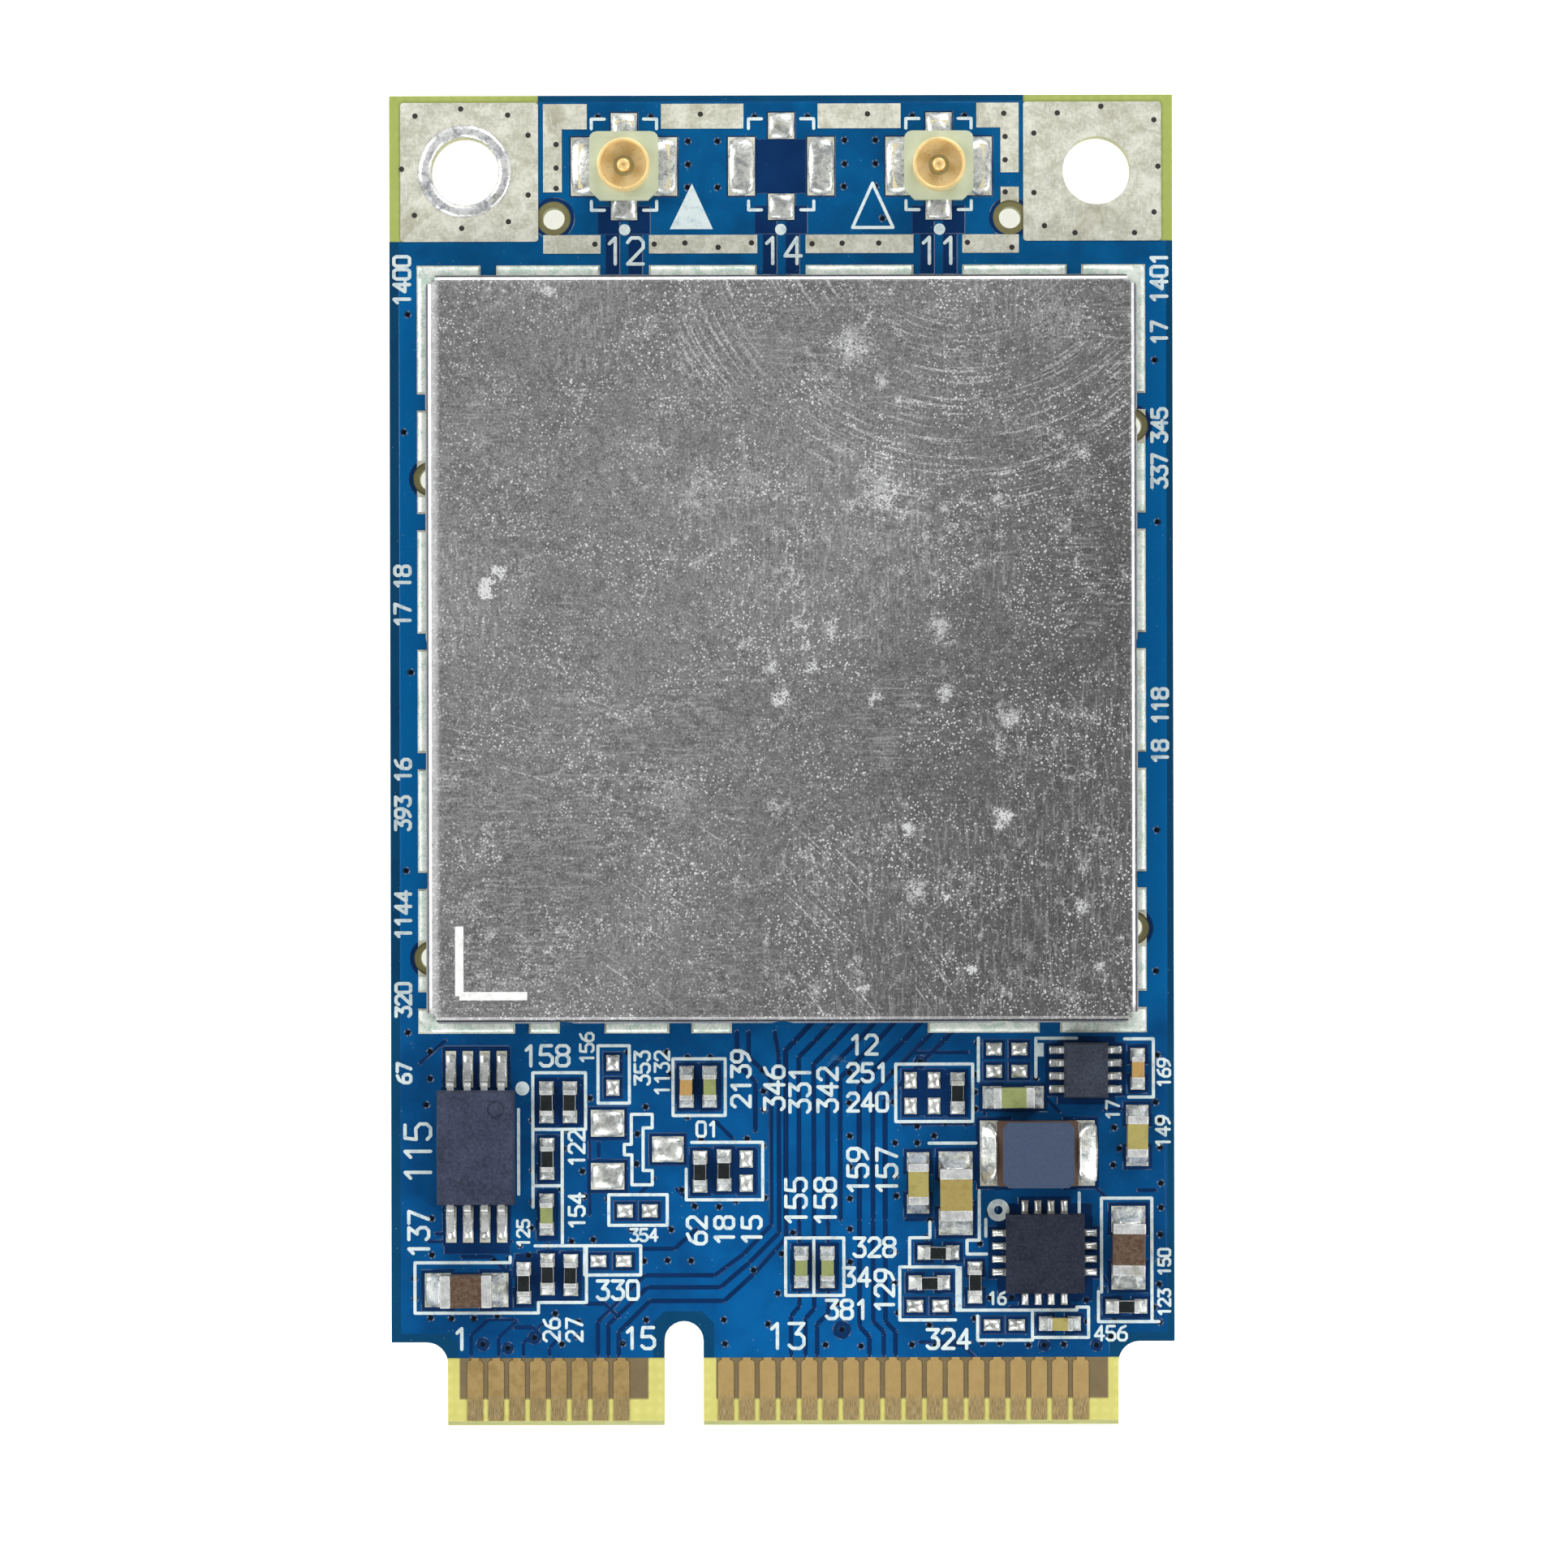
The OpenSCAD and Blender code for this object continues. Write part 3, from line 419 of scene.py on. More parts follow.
# %% Places of the plated holes
VIAS_TOP = [(-7, 24.65), (-4.97, 24.65), (-3.07, 24.62), (-1, 24.65), (1.03, 24.65), (3.33, 24.62),
            (5.05, 24.67), (7.05, 24.67), (-3.55, 23.72), (-2.42, 23.72), (-3.55, 22.83),
            (-3.57, 21.95), (-2.42, 21.95), (-3, 20.65), (2.45, 23.75), (3.63, 23.75),
            (2.45, 22.84), (3.63, 22.85), (2.42, 21.97), (3.63, 21.97), (3.9, 20.75),
            (-4.85, 18.67), (-14.3, 17.1), (14.3, 15.3), (-14.45, 12.6), (14.4, 9.1), (-14.2, 3.4),
            (14.35, -2.7), (-14.4, -4.2), (14.3, -8.1), (-14.35, -10.4)]
VIAS_LAND = [(-14, 24.7), (-12.25, 24.97), (-10.45, 24.73), (-9.67, 23.96), (-14.52, 22.67),
             (-14.03, 20.9), (-12.22, 20.4), (-10.43, 20.65), (-9.67, 21.67), (9.7, 24),
             (10.6, 24.77), (12.27, 25.02), (14.3, 24.5), (14.45, 22.72), (14.3, 20.97),
             (13.55, 20.18), (11.27, 20.18), (10.1, 20.45), (9.7, 21.72), (-8.6, 23.6),
             (-8.6, 22.7), (-8.6, 21.92), (8.55, 24.76), (8.6, 23.87), (8.6, 22.98), (8.6, 21.75),
             (-7.12, 19.78), (-4.85, 19.78), (-3.67, 19.82), (-2.4, 19.65), (-1.12, 19.82),
             (1.2, 19.78), (2.35, 19.8), (3.75, 19.8), (7.15, 19.82), (8.85, 19.63), (-3.07, 24.75),
             (3.33, 24.75)]
VIAS_LOW = [(-13.5, -11.13), (-13.5, -12.17), (-13.65, -13.17), (-9.6, -13.77), (-8.27, -14.13),
            (-8.42, -14.87), (-9.58, -15.7), (-8.5, -16.4), (-9.58, -16.93), (-7.6, -16.7),
            (-7.68, -15.73), (-7.38, -12.93), (-13.45, -17.52), (-9.65, -17.9), (-7.27, -18.35),
            (-5.93, -11.17), (-4.43, -11.17), (-3.65, -11.37), (-2.77, -11.37), (-4.27, -12),
            (-5.25, -13.27), (-3.65, -13.65), (-0.75, -11.87), (-0.73, -12.67), (-0.72, -13.38),
            (-5.57, -14.3), (-5.6, -15.45), (-3.13, -14.53), (-1.37, -14.5), (-0.75, -14.78),
            (-3.87, -16.45), (-6.7, -16.8), (-1.8, -16.87), (-0.7, -16.75), (-3.38, -17.08),
            (-2.45, -17.1), (-4.28, -17.97), (-5.8, -17.97), (2.57, -11.97), (4.25, -11.95),
            (2.55, -13.13), (4.25, -13.1), (7.37, -12.05), (7.37, -12.73), (7.37, -13.37),
            (6.2, -13.9), (7, -13.9), (5.15, -14.03), (5.8, -14.4), (2.57, -14.4), (4.3, -14.67),
            (5.15, -14.67), (2.57, -15.57), (4.3, -15.93), (2.57, -16.8), (4.35, -16.7),
            (5.63, -17.63), (2.57, -17.97), (5.5, -18.3), (0.38, -18.1), (7.47, -10.83),
            (9.7, -12.2), (12.7, -14.1), (12.9, -14.9), (12.65, -15.53), (14.28, -13.13),
            (14.45, -13.8), (14.35, -11.32), (14.45, -14.85), (14.48, -16.23), (14.48, -17.17),
            (14.45, -18.2), (7.9, -17.35), (-14.12, -19.83), (-14.1, -20.6), (-13.5, -21.33),
            (-12.7, -21.35), (-11.85, -21.35), (-10.95, -21.25), (-11.08, -19.15), (-9.75, -18.95),
            (-9, -18.58), (-8.1, -18.42), (-13.45, -18.92), (-10.08, -18.55), (-8.73, -21.18),
            (-7.85, -21.5), (-7.9, -22.05), (-8.48, -22.35), (-5.32, -19.17), (-4.42, -19.15),
            (-3.52, -19.17), (-5.25, -21.43), (-2.27, -21.43), (-2.23, -22.35), (-0.58, -21.6),
            (-0.2, -20.42), (-1.13, -19.53), (-6.15, -22.33), (-0.05, -18.9), (1.62, -22.4),
            (2.98, -22.45), (4.93, -22.4), (2.57, -19.23), (2.1, -20.8), (4.27, -18.85),
            (4.83, -19.42), (4.27, -20.03), (4.4, -21.18), (6.73, -20), (6.63, -20.9),
            (7.55, -18.53), (7.33, -21.4), (5.6, -21.65), (6.23, -21.83), (5.82, -22.45),
            (6.7, -22.3), (7.63, -22.33), (8.3, -22.33), (9.4, -22.42), (10.75, -22.4),
            (12.55, -22.1), (7.92, -20.6), (8.75, -20.6), (11.6, -20.7), (12.22, -20.27),
            (14.2, -20.98), (11.65, -21.52), (12.7, -21.5), (14.43, -21.55), (14.4, -19.25),
            (14.4, -20.1)]
RINGED_VIAS = [(2.25, -21.82, 0.37), (-9.53, -22.1, 0.28), (-11.5, -22.35, 0.28),
               (-10.55, -22.5, 0.26), (5.27, -11.57, 0.28), (10, -22.43, 0.26), (12, -22.43, 0.26)]

# %% Etched lines between the tracks, as points and a width
BUS = [(0.12, 0.16), (0.62, 0.14), (1.19, 0.14), (1.72, 0.14), (2.2, 0.14), (2.93, 0.16),
       (3.45, 0.14), (3.92, 0.16)]
BUS_END, TONGUE_END = -17.6, -22.8
LINES = []
# the bus fans in from under the can, and every line bends a little lower than the last
for place, (x, width) in enumerate(BUS):
    rise = 0.35 + 0.27 * place
    LINES.append(([(x + rise + 0.7, -10.0), (x + rise, -10.75), (x, -10.75 - rise), (x, BUS_END)],
                  width))
LINES += [([(-1.75, -10.4), (-1.75, -11.6), (-1.05, -12.3), (-1.05, -14.2)], 0.14),
          ([(-1.3, -10.4), (-1.3, -11.35), (-0.45, -12.2), (-0.45, -17.8), (-1.5, -18.9),
            (-2.6, -19.72), (-5.3, -19.72)], 0.13),
          ([(-0.3, -10.4), (-0.15, -11.4), (-0.15, -18.1), (-1.3, -19.25), (-2.4, -20.18),
            (-5.2, -20.18), (-6.7, -21.6), (-6.7, TONGUE_END)], 0.13),
          ([(0.12, BUS_END), (0.12, -18.3), (-1.15, -19.7), (-2.25, -20.7), (-5.1, -20.7),
            (-6.3, -21.9), (-6.3, TONGUE_END)], 0.13),
          ([(-5.3, -19.72), (-7.1, -21.5), (-7.1, TONGUE_END)], 0.13),
          ([(-5.4, -18.7), (-4.15, -18.7), (-3.3, -17.95)], 0.12)]
# six lines of the bus step aside at a height and run on to the contacts
SIDESTEPS = [(0.62, -20.9, 0.3, 0.13), (1.19, -21.0, 0.85, 0.13), (1.72, -21.2, 1.3, 0.13),
             (2.93, -21.7, 3.3, 0.14), (3.45, -21.5, 3.85, 0.13), (3.92, -21.5, 4.3, 0.14)]
LINES += [([(x, BUS_END), (x, y), (x_end, y - 0.4), (x_end, TONGUE_END)], width)
          for x, y, x_end, width in SIDESTEPS]
# thin lines above the first contacts
for points in ([(-11.95, -22.0), (-11.3, -21.4), (-10.3, -21.4)], [(-10.9, -22.1), (-10.2, -21.45)],
               [(-9.95, -22.3), (-9.2, -21.55)], [(-8.95, -22.5), (-8.5, -22.0)]):
    LINES.append(([(points[0][0], TONGUE_END)] + points, 0.09))
# loose ends between the parts, with a bend or straight
BENT = [(-13.3, -18.1, 1.4), (-12.3, -19.0, 1.9), (-10.3, -21.7, 1.2), (-7.6, -20.8, 1.3),
        (5.9, -22.4, 1.6)]
LINES += [([(x, y), (x + w * 0.6, y), (x + w, y - w * 0.4)], 0.12) for x, y, w in BENT]
STRAIGHT = [(-13.9, -11.6, -12.9, -10.7), (-7.4, -13.6, -7.4, -17.4), (-7.05, -14.6, -7.05, -15.2),
            (-5.5, -16.6, -4.9, -16.0), (-4.1, -16.4, -3.5, -16.9), (-2.6, -13.8, -1.9, -14.5),
            (5.0, -11.2, 7.1, -11.2), (4.55, -13.95, 7.3, -13.95), (7.75, -13.6, 7.75, -12.6),
            (10.0, -12.9, 10.6, -13.5), (12.3, -13.4, 13.0, -13.4), (7.35, -16.9, 7.35, -18.2),
            (11.9, -16.3, 12.4, -16.8), (4.7, -17.6, 6.0, -17.6), (11.9, -19.2, 12.4, -20.0),
            (8.7, -20.95, 11.3, -20.95), (12.0, -21.35, 14.2, -21.35), (13.6, -16.5, 14.3, -16.5),
            (5.2, -22.3, 7.2, -22.3), (-13.6, -18.4, -10.4, -18.4), (-10.55, -19.0, -10.55, -20.9)]
LINES += [([(x0, y0), (x1, y1)], 0.1) for x0, y0, x1, y1 in STRAIGHT]

# %% Patches without copper
PATCHES = [(-13.0, -18.9, -10.45, -10.9), (-9.6, -14.0, -7.6, -12.15), (-9.4, -16.15, -8.5, -14.35),
           (-9.42, -18.4, -8.6, -16.4), (-4.1, -13.4, -2.35, -11.6), (-3.6, -16.6, -0.95, -14.85),
           (0.28, -20.3, 2.15, -18.5), (4.55, -13.65, 7.1, -11.85), (4.75, -17.4, 5.65, -14.95),
           (-0.95, 21.7, 0.98, 23.8), (8.2, -20.75, 11.85, -17.0), (10.5, -13.2, 12.75, -10.6),
           (-13.75, -20.9, -10.5, -19.6), (-10.3, -20.7, -7.7, -18.85), (7.75, -13.5, 9.9, -12.4)]
for x in SITES:
    for side in SIDES:
        PATCHES.append((x + side * 0.15, 20.15, x + side * 1.02, 21.25))
        PATCHES.append((x + side * 0.15, 18.6, x + side * 0.72, 20.15))
TOP_MARGIN = rect(-9.28, 25.24, 9.28, 25.5)
MARGINS = [
    rect(-15.1, resist_end, -14.64, CORNER[1]), rect(14.75, resist_end, 15.1, CORNER[1]),
    rect(-15.1, -22.4, -12.7, -21.95), rect(12.6, -22.4, 15.1, -21.95),
    rect(-13.4, -23.2, -12.45, -22.2), rect(12.5, -23.2, 13.4, -22.2), TOP_MARGIN,
    [(-4.97, -22.95), (-2.65, -22.95), (-2.65, -21.55), (-3.1, -21.1), (-4.55, -21.1),
     (-4.97, -21.5)]]
print(len(VIAS_TOP + VIAS_LAND + VIAS_LOW), "plated holes,", len(LINES), "etched lines")

# %% [markdown]
# ## The varnish
#
# The top varnish is one thin skin. Over bare patches it lies lower by the thickness of the copper,
# with a soft slope at each edge, and it dips into each plated hole. Every etched shape is drawn
# twice, at full size and a little smaller: the strip between the two is the slope. Each face
# remembers what lies under it, for the material to read.

# %% Skin of varnish
COPPER = 0.016
SLOPE = 0.035
VIA_RIM_R, VIA_PIT_R = 0.16, 0.10


def grown(x, y, w, h, by):
    return box_at(x, y, w + 2 * by, h + 2 * by)


def resist_skin(name, outline, windows, etched, margins, vias, levels, material):
    """etched(inset) gives the shapes without copper. levels are the height over copper, over bare
    board, at the bottom of a plated hole and underneath."""
    over_copper, over_bare, pit_level, under = levels
    groups = {"board": [outline], "window": windows, "margin": margins,
              "etched": etched(0), "deep": etched(SLOPE),
              "rim": [disc(x, y, VIA_RIM_R) for x, y in vias],
              "pit": [disc(x, y, VIA_PIT_R) for x, y in vias]}
    kinds = [kind for kind, members in groups.items() for _ in members]
    points, triangles, inside = arrange([shape for members in groups.values() for shape in members])
    count = [{kind: sum(kinds[i] == kind for i in held) for kind in groups} for held in inside]
    kept = [c["board"] and not c["window"] for c in count]
    triangles = [t for t, k in zip(triangles, kept) if k]
    count = [c for c, k in zip(count, kept) if k]
    deep = [c["deep"] > 0 or c["margin"] > 0 for c in count]
    height = {}
    for t, low_here, c in zip(triangles, deep, count):
        level = pit_level if c["pit"] else over_bare if low_here else over_copper
        for v in t:
            if abs(level - under) < abs(height.get(v, over_copper) - under) or v not in height:
                height[v] = level
    order = {v: i for i, v in enumerate(sorted(height))}
    n, up = len(order), over_copper > under
    solid = [(*points[v], height[v]) for v in order] + [(*points[v], under) for v in order]
    outside = [tuple(order[v] for v in (t if up else t[::-1])) for t in triangles]
    faces = outside + [tuple(i + n for i in t[::-1]) for t in outside]
    rim_sides = borders(outside)
    faces += [(b, a, a + n, b + n) for a, b in rim_sides]
    unseen = [0.0] * (len(outside) + len(rim_sides))
    bare = [1.0 if d else 0.5 if c["etched"] else 0.0 for d, c in zip(deep, count)] + unseen
    margin = [float(c["margin"] > 0) for c in count] + unseen
    via = [1.0 if c["pit"] else 0.5 if c["rim"] else 0.0 for c in count] + unseen
    return new_piece(name, solid, faces, material,
                     {"bare": bare, "margin": margin, "via": via})


# %% [markdown]
# ### Its colour
#
# Varnish of this kind is a clear blue lacquer: a saturated blue over bright copper, near black
# over bare glass board, and a little teal near the card's edges, where light comes in from the
# side. It is a touch thicker in some places, so the blue drifts slowly, and it is glossy with a
# faint orange peel.

# %% Material of the varnish
def resist_finish():
    f = Finish("blue_resist", Coat_Weight=0.12, Coat_Roughness=0.1, IOR=1.5, Specular_IOR_Level=0.3)
    drift = f.fade(f.noise(0.16, 2.0) * 0.5 + f.noise(0.9, 4.0) * 0.5, 0.32, 0.68)
    low_end = f.fade(f.y, 6.0, -20.0)
    blue = f.mix(low_end, f.mix(drift, (0.0008, 0.056, 0.165), (0.0010, 0.094, 0.255)),
                 f.mix(drift, (0.0010, 0.062, 0.205), (0.0012, 0.104, 0.315)))
    beside = f.fade(abs(f.x), 13.2, 13.8) * f.fade(f.y, -10.5, -8.0) * f.fade(f.y, 19.5, 18.5)
    blue = f.mix(beside * 0.75, blue, (0.0005, 0.118, 0.340))
    shade = f.fade(f.y, -9.0, -12.0) * (f.fade(f.x, -3.0, -8.0) * 0.8).most(f.fade(f.x, 3.5, 6.5))
    blue = f.mix(shade * (0.2 + f.noise(0.4, 3.0) * 0.45), blue, (0.0010, 0.024, 0.085))
    bare, margin, via = f.attribute("bare"), f.attribute("margin"), f.attribute("via")
    navy = f.mix(f.noise(0.8, 2.0), (0.0016, 0.017, 0.070), (0.0035, 0.033, 0.122))
    colour = f.mix(f.fade(bare, 0.0, 0.6), blue, navy)
    edge = f.mix(f.noise(0.6), (0.0015, 0.044, 0.115), (0.004, 0.085, 0.175))
    colour = f.mix(margin * 0.7, colour, edge)
    # painted shade: the varnish is darkened round each plated hole and painted near black in the
    # hole where it dips
    colour = f.mix(f.fade(via, 0.2, 0.6) * 0.65, colour, (0.004, 0.030, 0.085))
    colour = f.mix(f.fade(via, 0.7, 0.9), colour, (0.003, 0.006, 0.010))
    dust = f.fade(f.cells(3.2), 0.10, 0.04) * f.noise(0.9).above(0.50)
    film = f.fade(f.noise(0.8, 5.0, 0.7, twist=0.8), 0.60, 0.74)
    film = film * f.fade(f.y, -9.0, -10.2) * f.fade(f.y, -13.5, -11.0)
    colour = f.mix(dust * 0.4 + film * 0.25, colour, (0.24, 0.40, 0.50))
    rough = 0.20 + f.noise(2.2) * 0.12
    peel = f.noise(3.0, 2.0) * 0.6 + f.noise(14, 2.0) * 0.4
    return f.dress(colour, rough, 0.0, peel, 0.006)


resist = resist_finish()

# %% [markdown]
# ### Its windows and its shapes
#
# The varnish has a window for every land, pad and hole, printed a hair larger than the metal. The
# lands under the can are a ring with gaps for the tracks, so each side is a line with gaps cut out
# of it. Drawing the windows from the same lists as the pads keeps each one over its metal.

# %% Windows of the varnish
WINDOW_GAP = 0.004
TOOL_WINDOW_R, TOOL_RING_R = 0.66, 0.82
PAD_RING, COAX_RING = 0.15, 0.06
SIDE_GAP = 0.62
BEYOND_X, BEYOND_Y = 16, 26


def between(low, high, gaps):
    """What is left of a line from low to high, as (start, end)."""
    edges = [low] + [v for gap in sorted(gaps) for v in gap] + [high]
    return list(zip(edges[::2], edges[1::2]))


# the broken ring of lands round the can, as (x0, y0, x1, y1)
ring_x, ring_top, ring_bottom = RING_W / 2, CAN_Y + RING_L / 2, CAN_Y - RING_L / 2
side_gaps = [(y - SIDE_GAP / 2, y + SIDE_GAP / 2) for y in SIDE_GAPS]
side_lands = [(x, a, x + RING_T, b) for a, b in between(ring_bottom, ring_top, side_gaps)
              for x in (-ring_x, ring_x - RING_T)]
end_lands = [(a, ring_top - RING_T, b, ring_top) for a, b in between(-ring_x, ring_x, TOP_GAPS)]
end_lands += [(a, ring_bottom, b, ring_bottom + RING_T)
              for a, b in between(-ring_x, ring_x, BOTTOM_GAPS)]

corner_windows = [rect(s * CORNER[0], CORNER[1], s * BEYOND_X, BEYOND_Y) for s in SIDES]
tool_windows = [disc(x, y, TOOL_WINDOW_R, 24) for x, y in TOOL_HOLES]
windows = [grown(*pad, WINDOW_GAP) for pad in all_pads] + [rect(*bar) for bar in BARS]
windows += tool_windows + corner_windows + [rect(*land) for land in side_lands + end_lands]
print(len(windows), "windows")


# %% The upper skin
def round_tool_holes(inset):
    return [disc(x, y, TOOL_RING_R - inset, 24) for x, y in TOOL_HOLES]


def etched_top(inset):
    """What the etching has bared on the upper side, each shape smaller by inset all round."""
    shapes = [rect(x0 + inset, y0 + inset, x1 - inset, y1 - inset)
              for (x0, y0), _, (x1, y1), _ in (rect(*patch) for patch in PATCHES)]
    shapes += [plank for points, width in LINES
               for plank in stroke(points, width + 0.05 - 2 * inset)]
    for pad in all_pads:
        shapes.append(grown(*pad, (COAX_RING if pad in coax_pads else PAD_RING) - inset))
    return shapes + round_tool_holes(inset) + [disc(x, y, r - inset, 16) for x, y, r in RINGED_VIAS]


top_skin = resist_skin("resist_top", board_outline(resist_end), windows, etched_top, MARGINS,
                       VIAS_TOP + VIAS_LOW + [(x, y) for x, y, _ in RINGED_VIAS],
                       (resist_top, resist_top - COPPER, resist_top - 2 * COPPER, core_top), resist)
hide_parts("solder_mask")

# %% [markdown]
# ## The glass board
#
# Under the varnish is a plate of woven glass in yellow-green resin. It shows at the cut sides, at
# the two bare corners and on the tongue, where the fine weave catches the light and an inner
# copper plane shines through as a brown-grey shadow. The CAD solid is copied, its loose triangles
# are joined, and its underside is raised by the thickness of the lower varnish, so that the
# contacts stand proud of it.

# %% Material of the glass board
def laminate_finish():
    f = Finish("glass_laminate", IOR=1.5, Coat_Weight=0.15, Coat_Roughness=0.25)
    warp, weft = (f.node("ShaderNodeTexWave", {"wave_type": "BANDS", "bands_direction": axis},
                         {"Vector": f.mm, "Scale": 0.7, "Distortion": 1.2, "Detail": 2.0,
                          "Detail Scale": 3.0}, "Fac") for axis in "XY")
    weave = warp * weft
    resin = f.mix(f.noise(0.5, 3.0), (0.27, 0.33, 0.068), (0.37, 0.43, 0.105))
    resin = f.mix(weave * 0.2, resin, (0.48, 0.54, 0.18))
    tongue = f.fade(f.y, -22.5, -23.0)
    pale = f.mix(f.noise(1.1, 3.0) * 0.7 + weave * 0.3, (0.56, 0.52, 0.135), (0.76, 0.70, 0.22))
    resin = f.mix(tongue * 0.85, resin, pale)
    flat = f.fade(abs(f.facing("Z")), 0.7, 0.95)
    left = f.fade(abs(f.x + 8.78), 3.66, 3.58)
    right = f.fade(abs(f.x - 4.94), 7.55, 7.47)
    plane = left.most(right) * f.fade(f.y, -24.52, -24.4) * tongue * flat
    shade = f.mix(f.noise(2.5, 4.0), (0.13, 0.10, 0.050), (0.20, 0.145, 0.066))
    colour = f.mix(plane, resin, shade)
    # a brown stain rings each tooling hole
    stain = 0
    for x, y in TOOL_HOLES:
        stain = f.reach(x, y, core_top).below(0.78) + stain
    brown = f.mix(f.noise(3.0, 4.0), (0.10, 0.088, 0.036), (0.19, 0.16, 0.070))
    colour = f.mix(stain * flat * 0.9, colour, brown)
    # cut sides: fibres in layers, with the two inner copper planes as thin dark lines
    layers = f.noise(1.0, 4.0, at=f.stretch(1.2, 1.2, 16.0))
    cut = f.mix(layers, (0.24, 0.27, 0.07), (0.52, 0.52, 0.22))
    inner = f.fade(abs(abs(f.z - 0.5) - 0.24), 0.025, 0.012)
    cut = f.mix(inner * 0.6, cut, (0.20, 0.10, 0.04))
    colour = f.mix(flat, cut, colour)
    height = flat * weave + (1 - flat) * layers
    return f.dress(colour, 0.42 + f.noise(6.0) * 0.2, 0.0, height, 0.008)


# %% The board, lifted off the lower varnish
BACK_RESIST = 0.02


def mesh_from(shape, name):
    mesh = bpy.data.meshes.new(name)
    shape.to_mesh(mesh)
    shape.free()
    return mesh


shape = bmesh.new()
shape.from_mesh(solids["board"].data)
bmesh.ops.remove_doubles(shape, verts=shape.verts, dist=1e-7)
for v in shape.verts:
    if v.co.z < 1e-6:
        v.co.z = BACK_RESIST * MM
glass_board = placed("glass_board", mesh_from(shape, "glass_board"))
glass_board.data.materials.append(laminate_finish())
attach(glass_board, "root")
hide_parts("board")
print("glass_board", len(glass_board.data.polygons), "faces")

# %% [markdown]
# ### The underside
#
# Nobody sees much of the lower side, but it is a circuit board too: tracks run up from the contacts
# in bundles, and plated holes come through. A bundle is one loop that shifts each line by the pitch
# and moves its bend a little, which keeps the gaps even round the corner.

# %% Underside varnish
def bundle(x, pitch, count, bend, shift, end):
    """Lines that run up from the contacts, step aside at 45 degrees with even gaps, and run on."""
    lines = []
    for i in range(count):
        turn_y = bend + abs(shift) / shift * (1 - math.sqrt(2)) * pitch * i
        lines.append([(x, -22.0), (x, turn_y), (x + shift, turn_y + abs(shift)),
                      (x + shift, end - i * 1.1)])
        x += pitch
    return lines


back_lines = (bundle(-9.6, 0.55, 9, -14.0, 3.2, 9.0) + bundle(3.4, 0.6, 6, -16.0, 2.4, 6.0)
              + bundle(10.9, 0.6, 4, -19.0, -1.3, 1.0))
for x in SITES:
    back_lines.append([(x - 0.6, 20.4), (x - 0.6, 17.2), (x + 0.6, 17.2), (x + 0.6, 20.4)])


def etched_back(inset):
    shapes = [plank for points in back_lines for plank in stroke(points, 0.13 - 2 * inset)]
    return shapes + round_tool_holes(inset)


back_margins = [rect(-15.1, resist_end, -14.64, CORNER[1]),
                rect(14.64, resist_end, 15.1, CORNER[1]), TOP_MARGIN]
rng = random.Random(7)
back_vias = VIAS_TOP + VIAS_LOW + [(round(rng.uniform(-12, 12), 2), round(rng.uniform(-9, 17), 2))
                                   for _ in range(110)]
resist_skin("resist_back", board_outline(resist_end), corner_windows + tool_windows, etched_back,
            back_margins, back_vias, (0.0, 0.008, 0.014, BACK_RESIST), resist)

# %% [markdown]
# ## Metals
#
# Six metals meet on the card, and none of them is clean. Hot-dipped tin on the lands is mottled
# with a soft grain; solder is brighter and lumpier; the can is dull tin-plated steel with
# pin-prick sparkles, smears and curved scratches from handling; the contacts are thin gold over
# copper, worn by the socket.

# %% Materials of tin, solder and contact gold
def tinned_finish(name, light, dark, grain=1.6, metal=0.3):
    f = Finish(name, IOR=1.5)
    blotch = f.noise(grain, 5.0, 0.6) * 0.6 + f.noise(grain * 5, 3.0) * 0.4
    stain = f.fade(f.noise(0.5, 4.0, 0.65, twist=0.6), 0.52, 0.72)
    colour = f.mix(f.fade(blotch, 0.35, 0.65), dark, light)
    colour = f.mix(stain * 0.5, colour, (0.30, 0.28, 0.17))
    scratch = f.fade(f.noise(3.0, 2.0, at=f.stretch(6, 0.4, 1, 35)), 0.63, 0.68)
    colour = f.mix(scratch * 0.5, colour, (0.92, 0.93, 0.90))
    # painted shade: faces that turn away from straight up are darkened
    colour = f.mix(f.fade(f.facing("Z"), 0.85, 0.4) * 0.7, colour, (0.14, 0.14, 0.14))
    return f.dress(colour, 0.30 + blotch * 0.25, metal, blotch, 0.012)


def solder_finish(name, dull, bright, metal, depth=0.02):
    f = Finish(name, IOR=1.5)
    frost = f.noise(9.0, 4.0, 0.6)
    pool = f.noise(2.2, 3.0, twist=0.8)
    colour = f.mix(f.fade(frost * 0.3 + pool * 0.7, 0.36, 0.58), dull, bright)
    flux = f.fade(f.noise(1.4, 3.0), 0.60, 0.72)
    colour = f.mix(flux * 0.3, colour, (0.50, 0.46, 0.22))
    return f.dress(colour, 0.18 + frost * 0.2, metal, frost * 0.2 + pool * 0.8, depth)


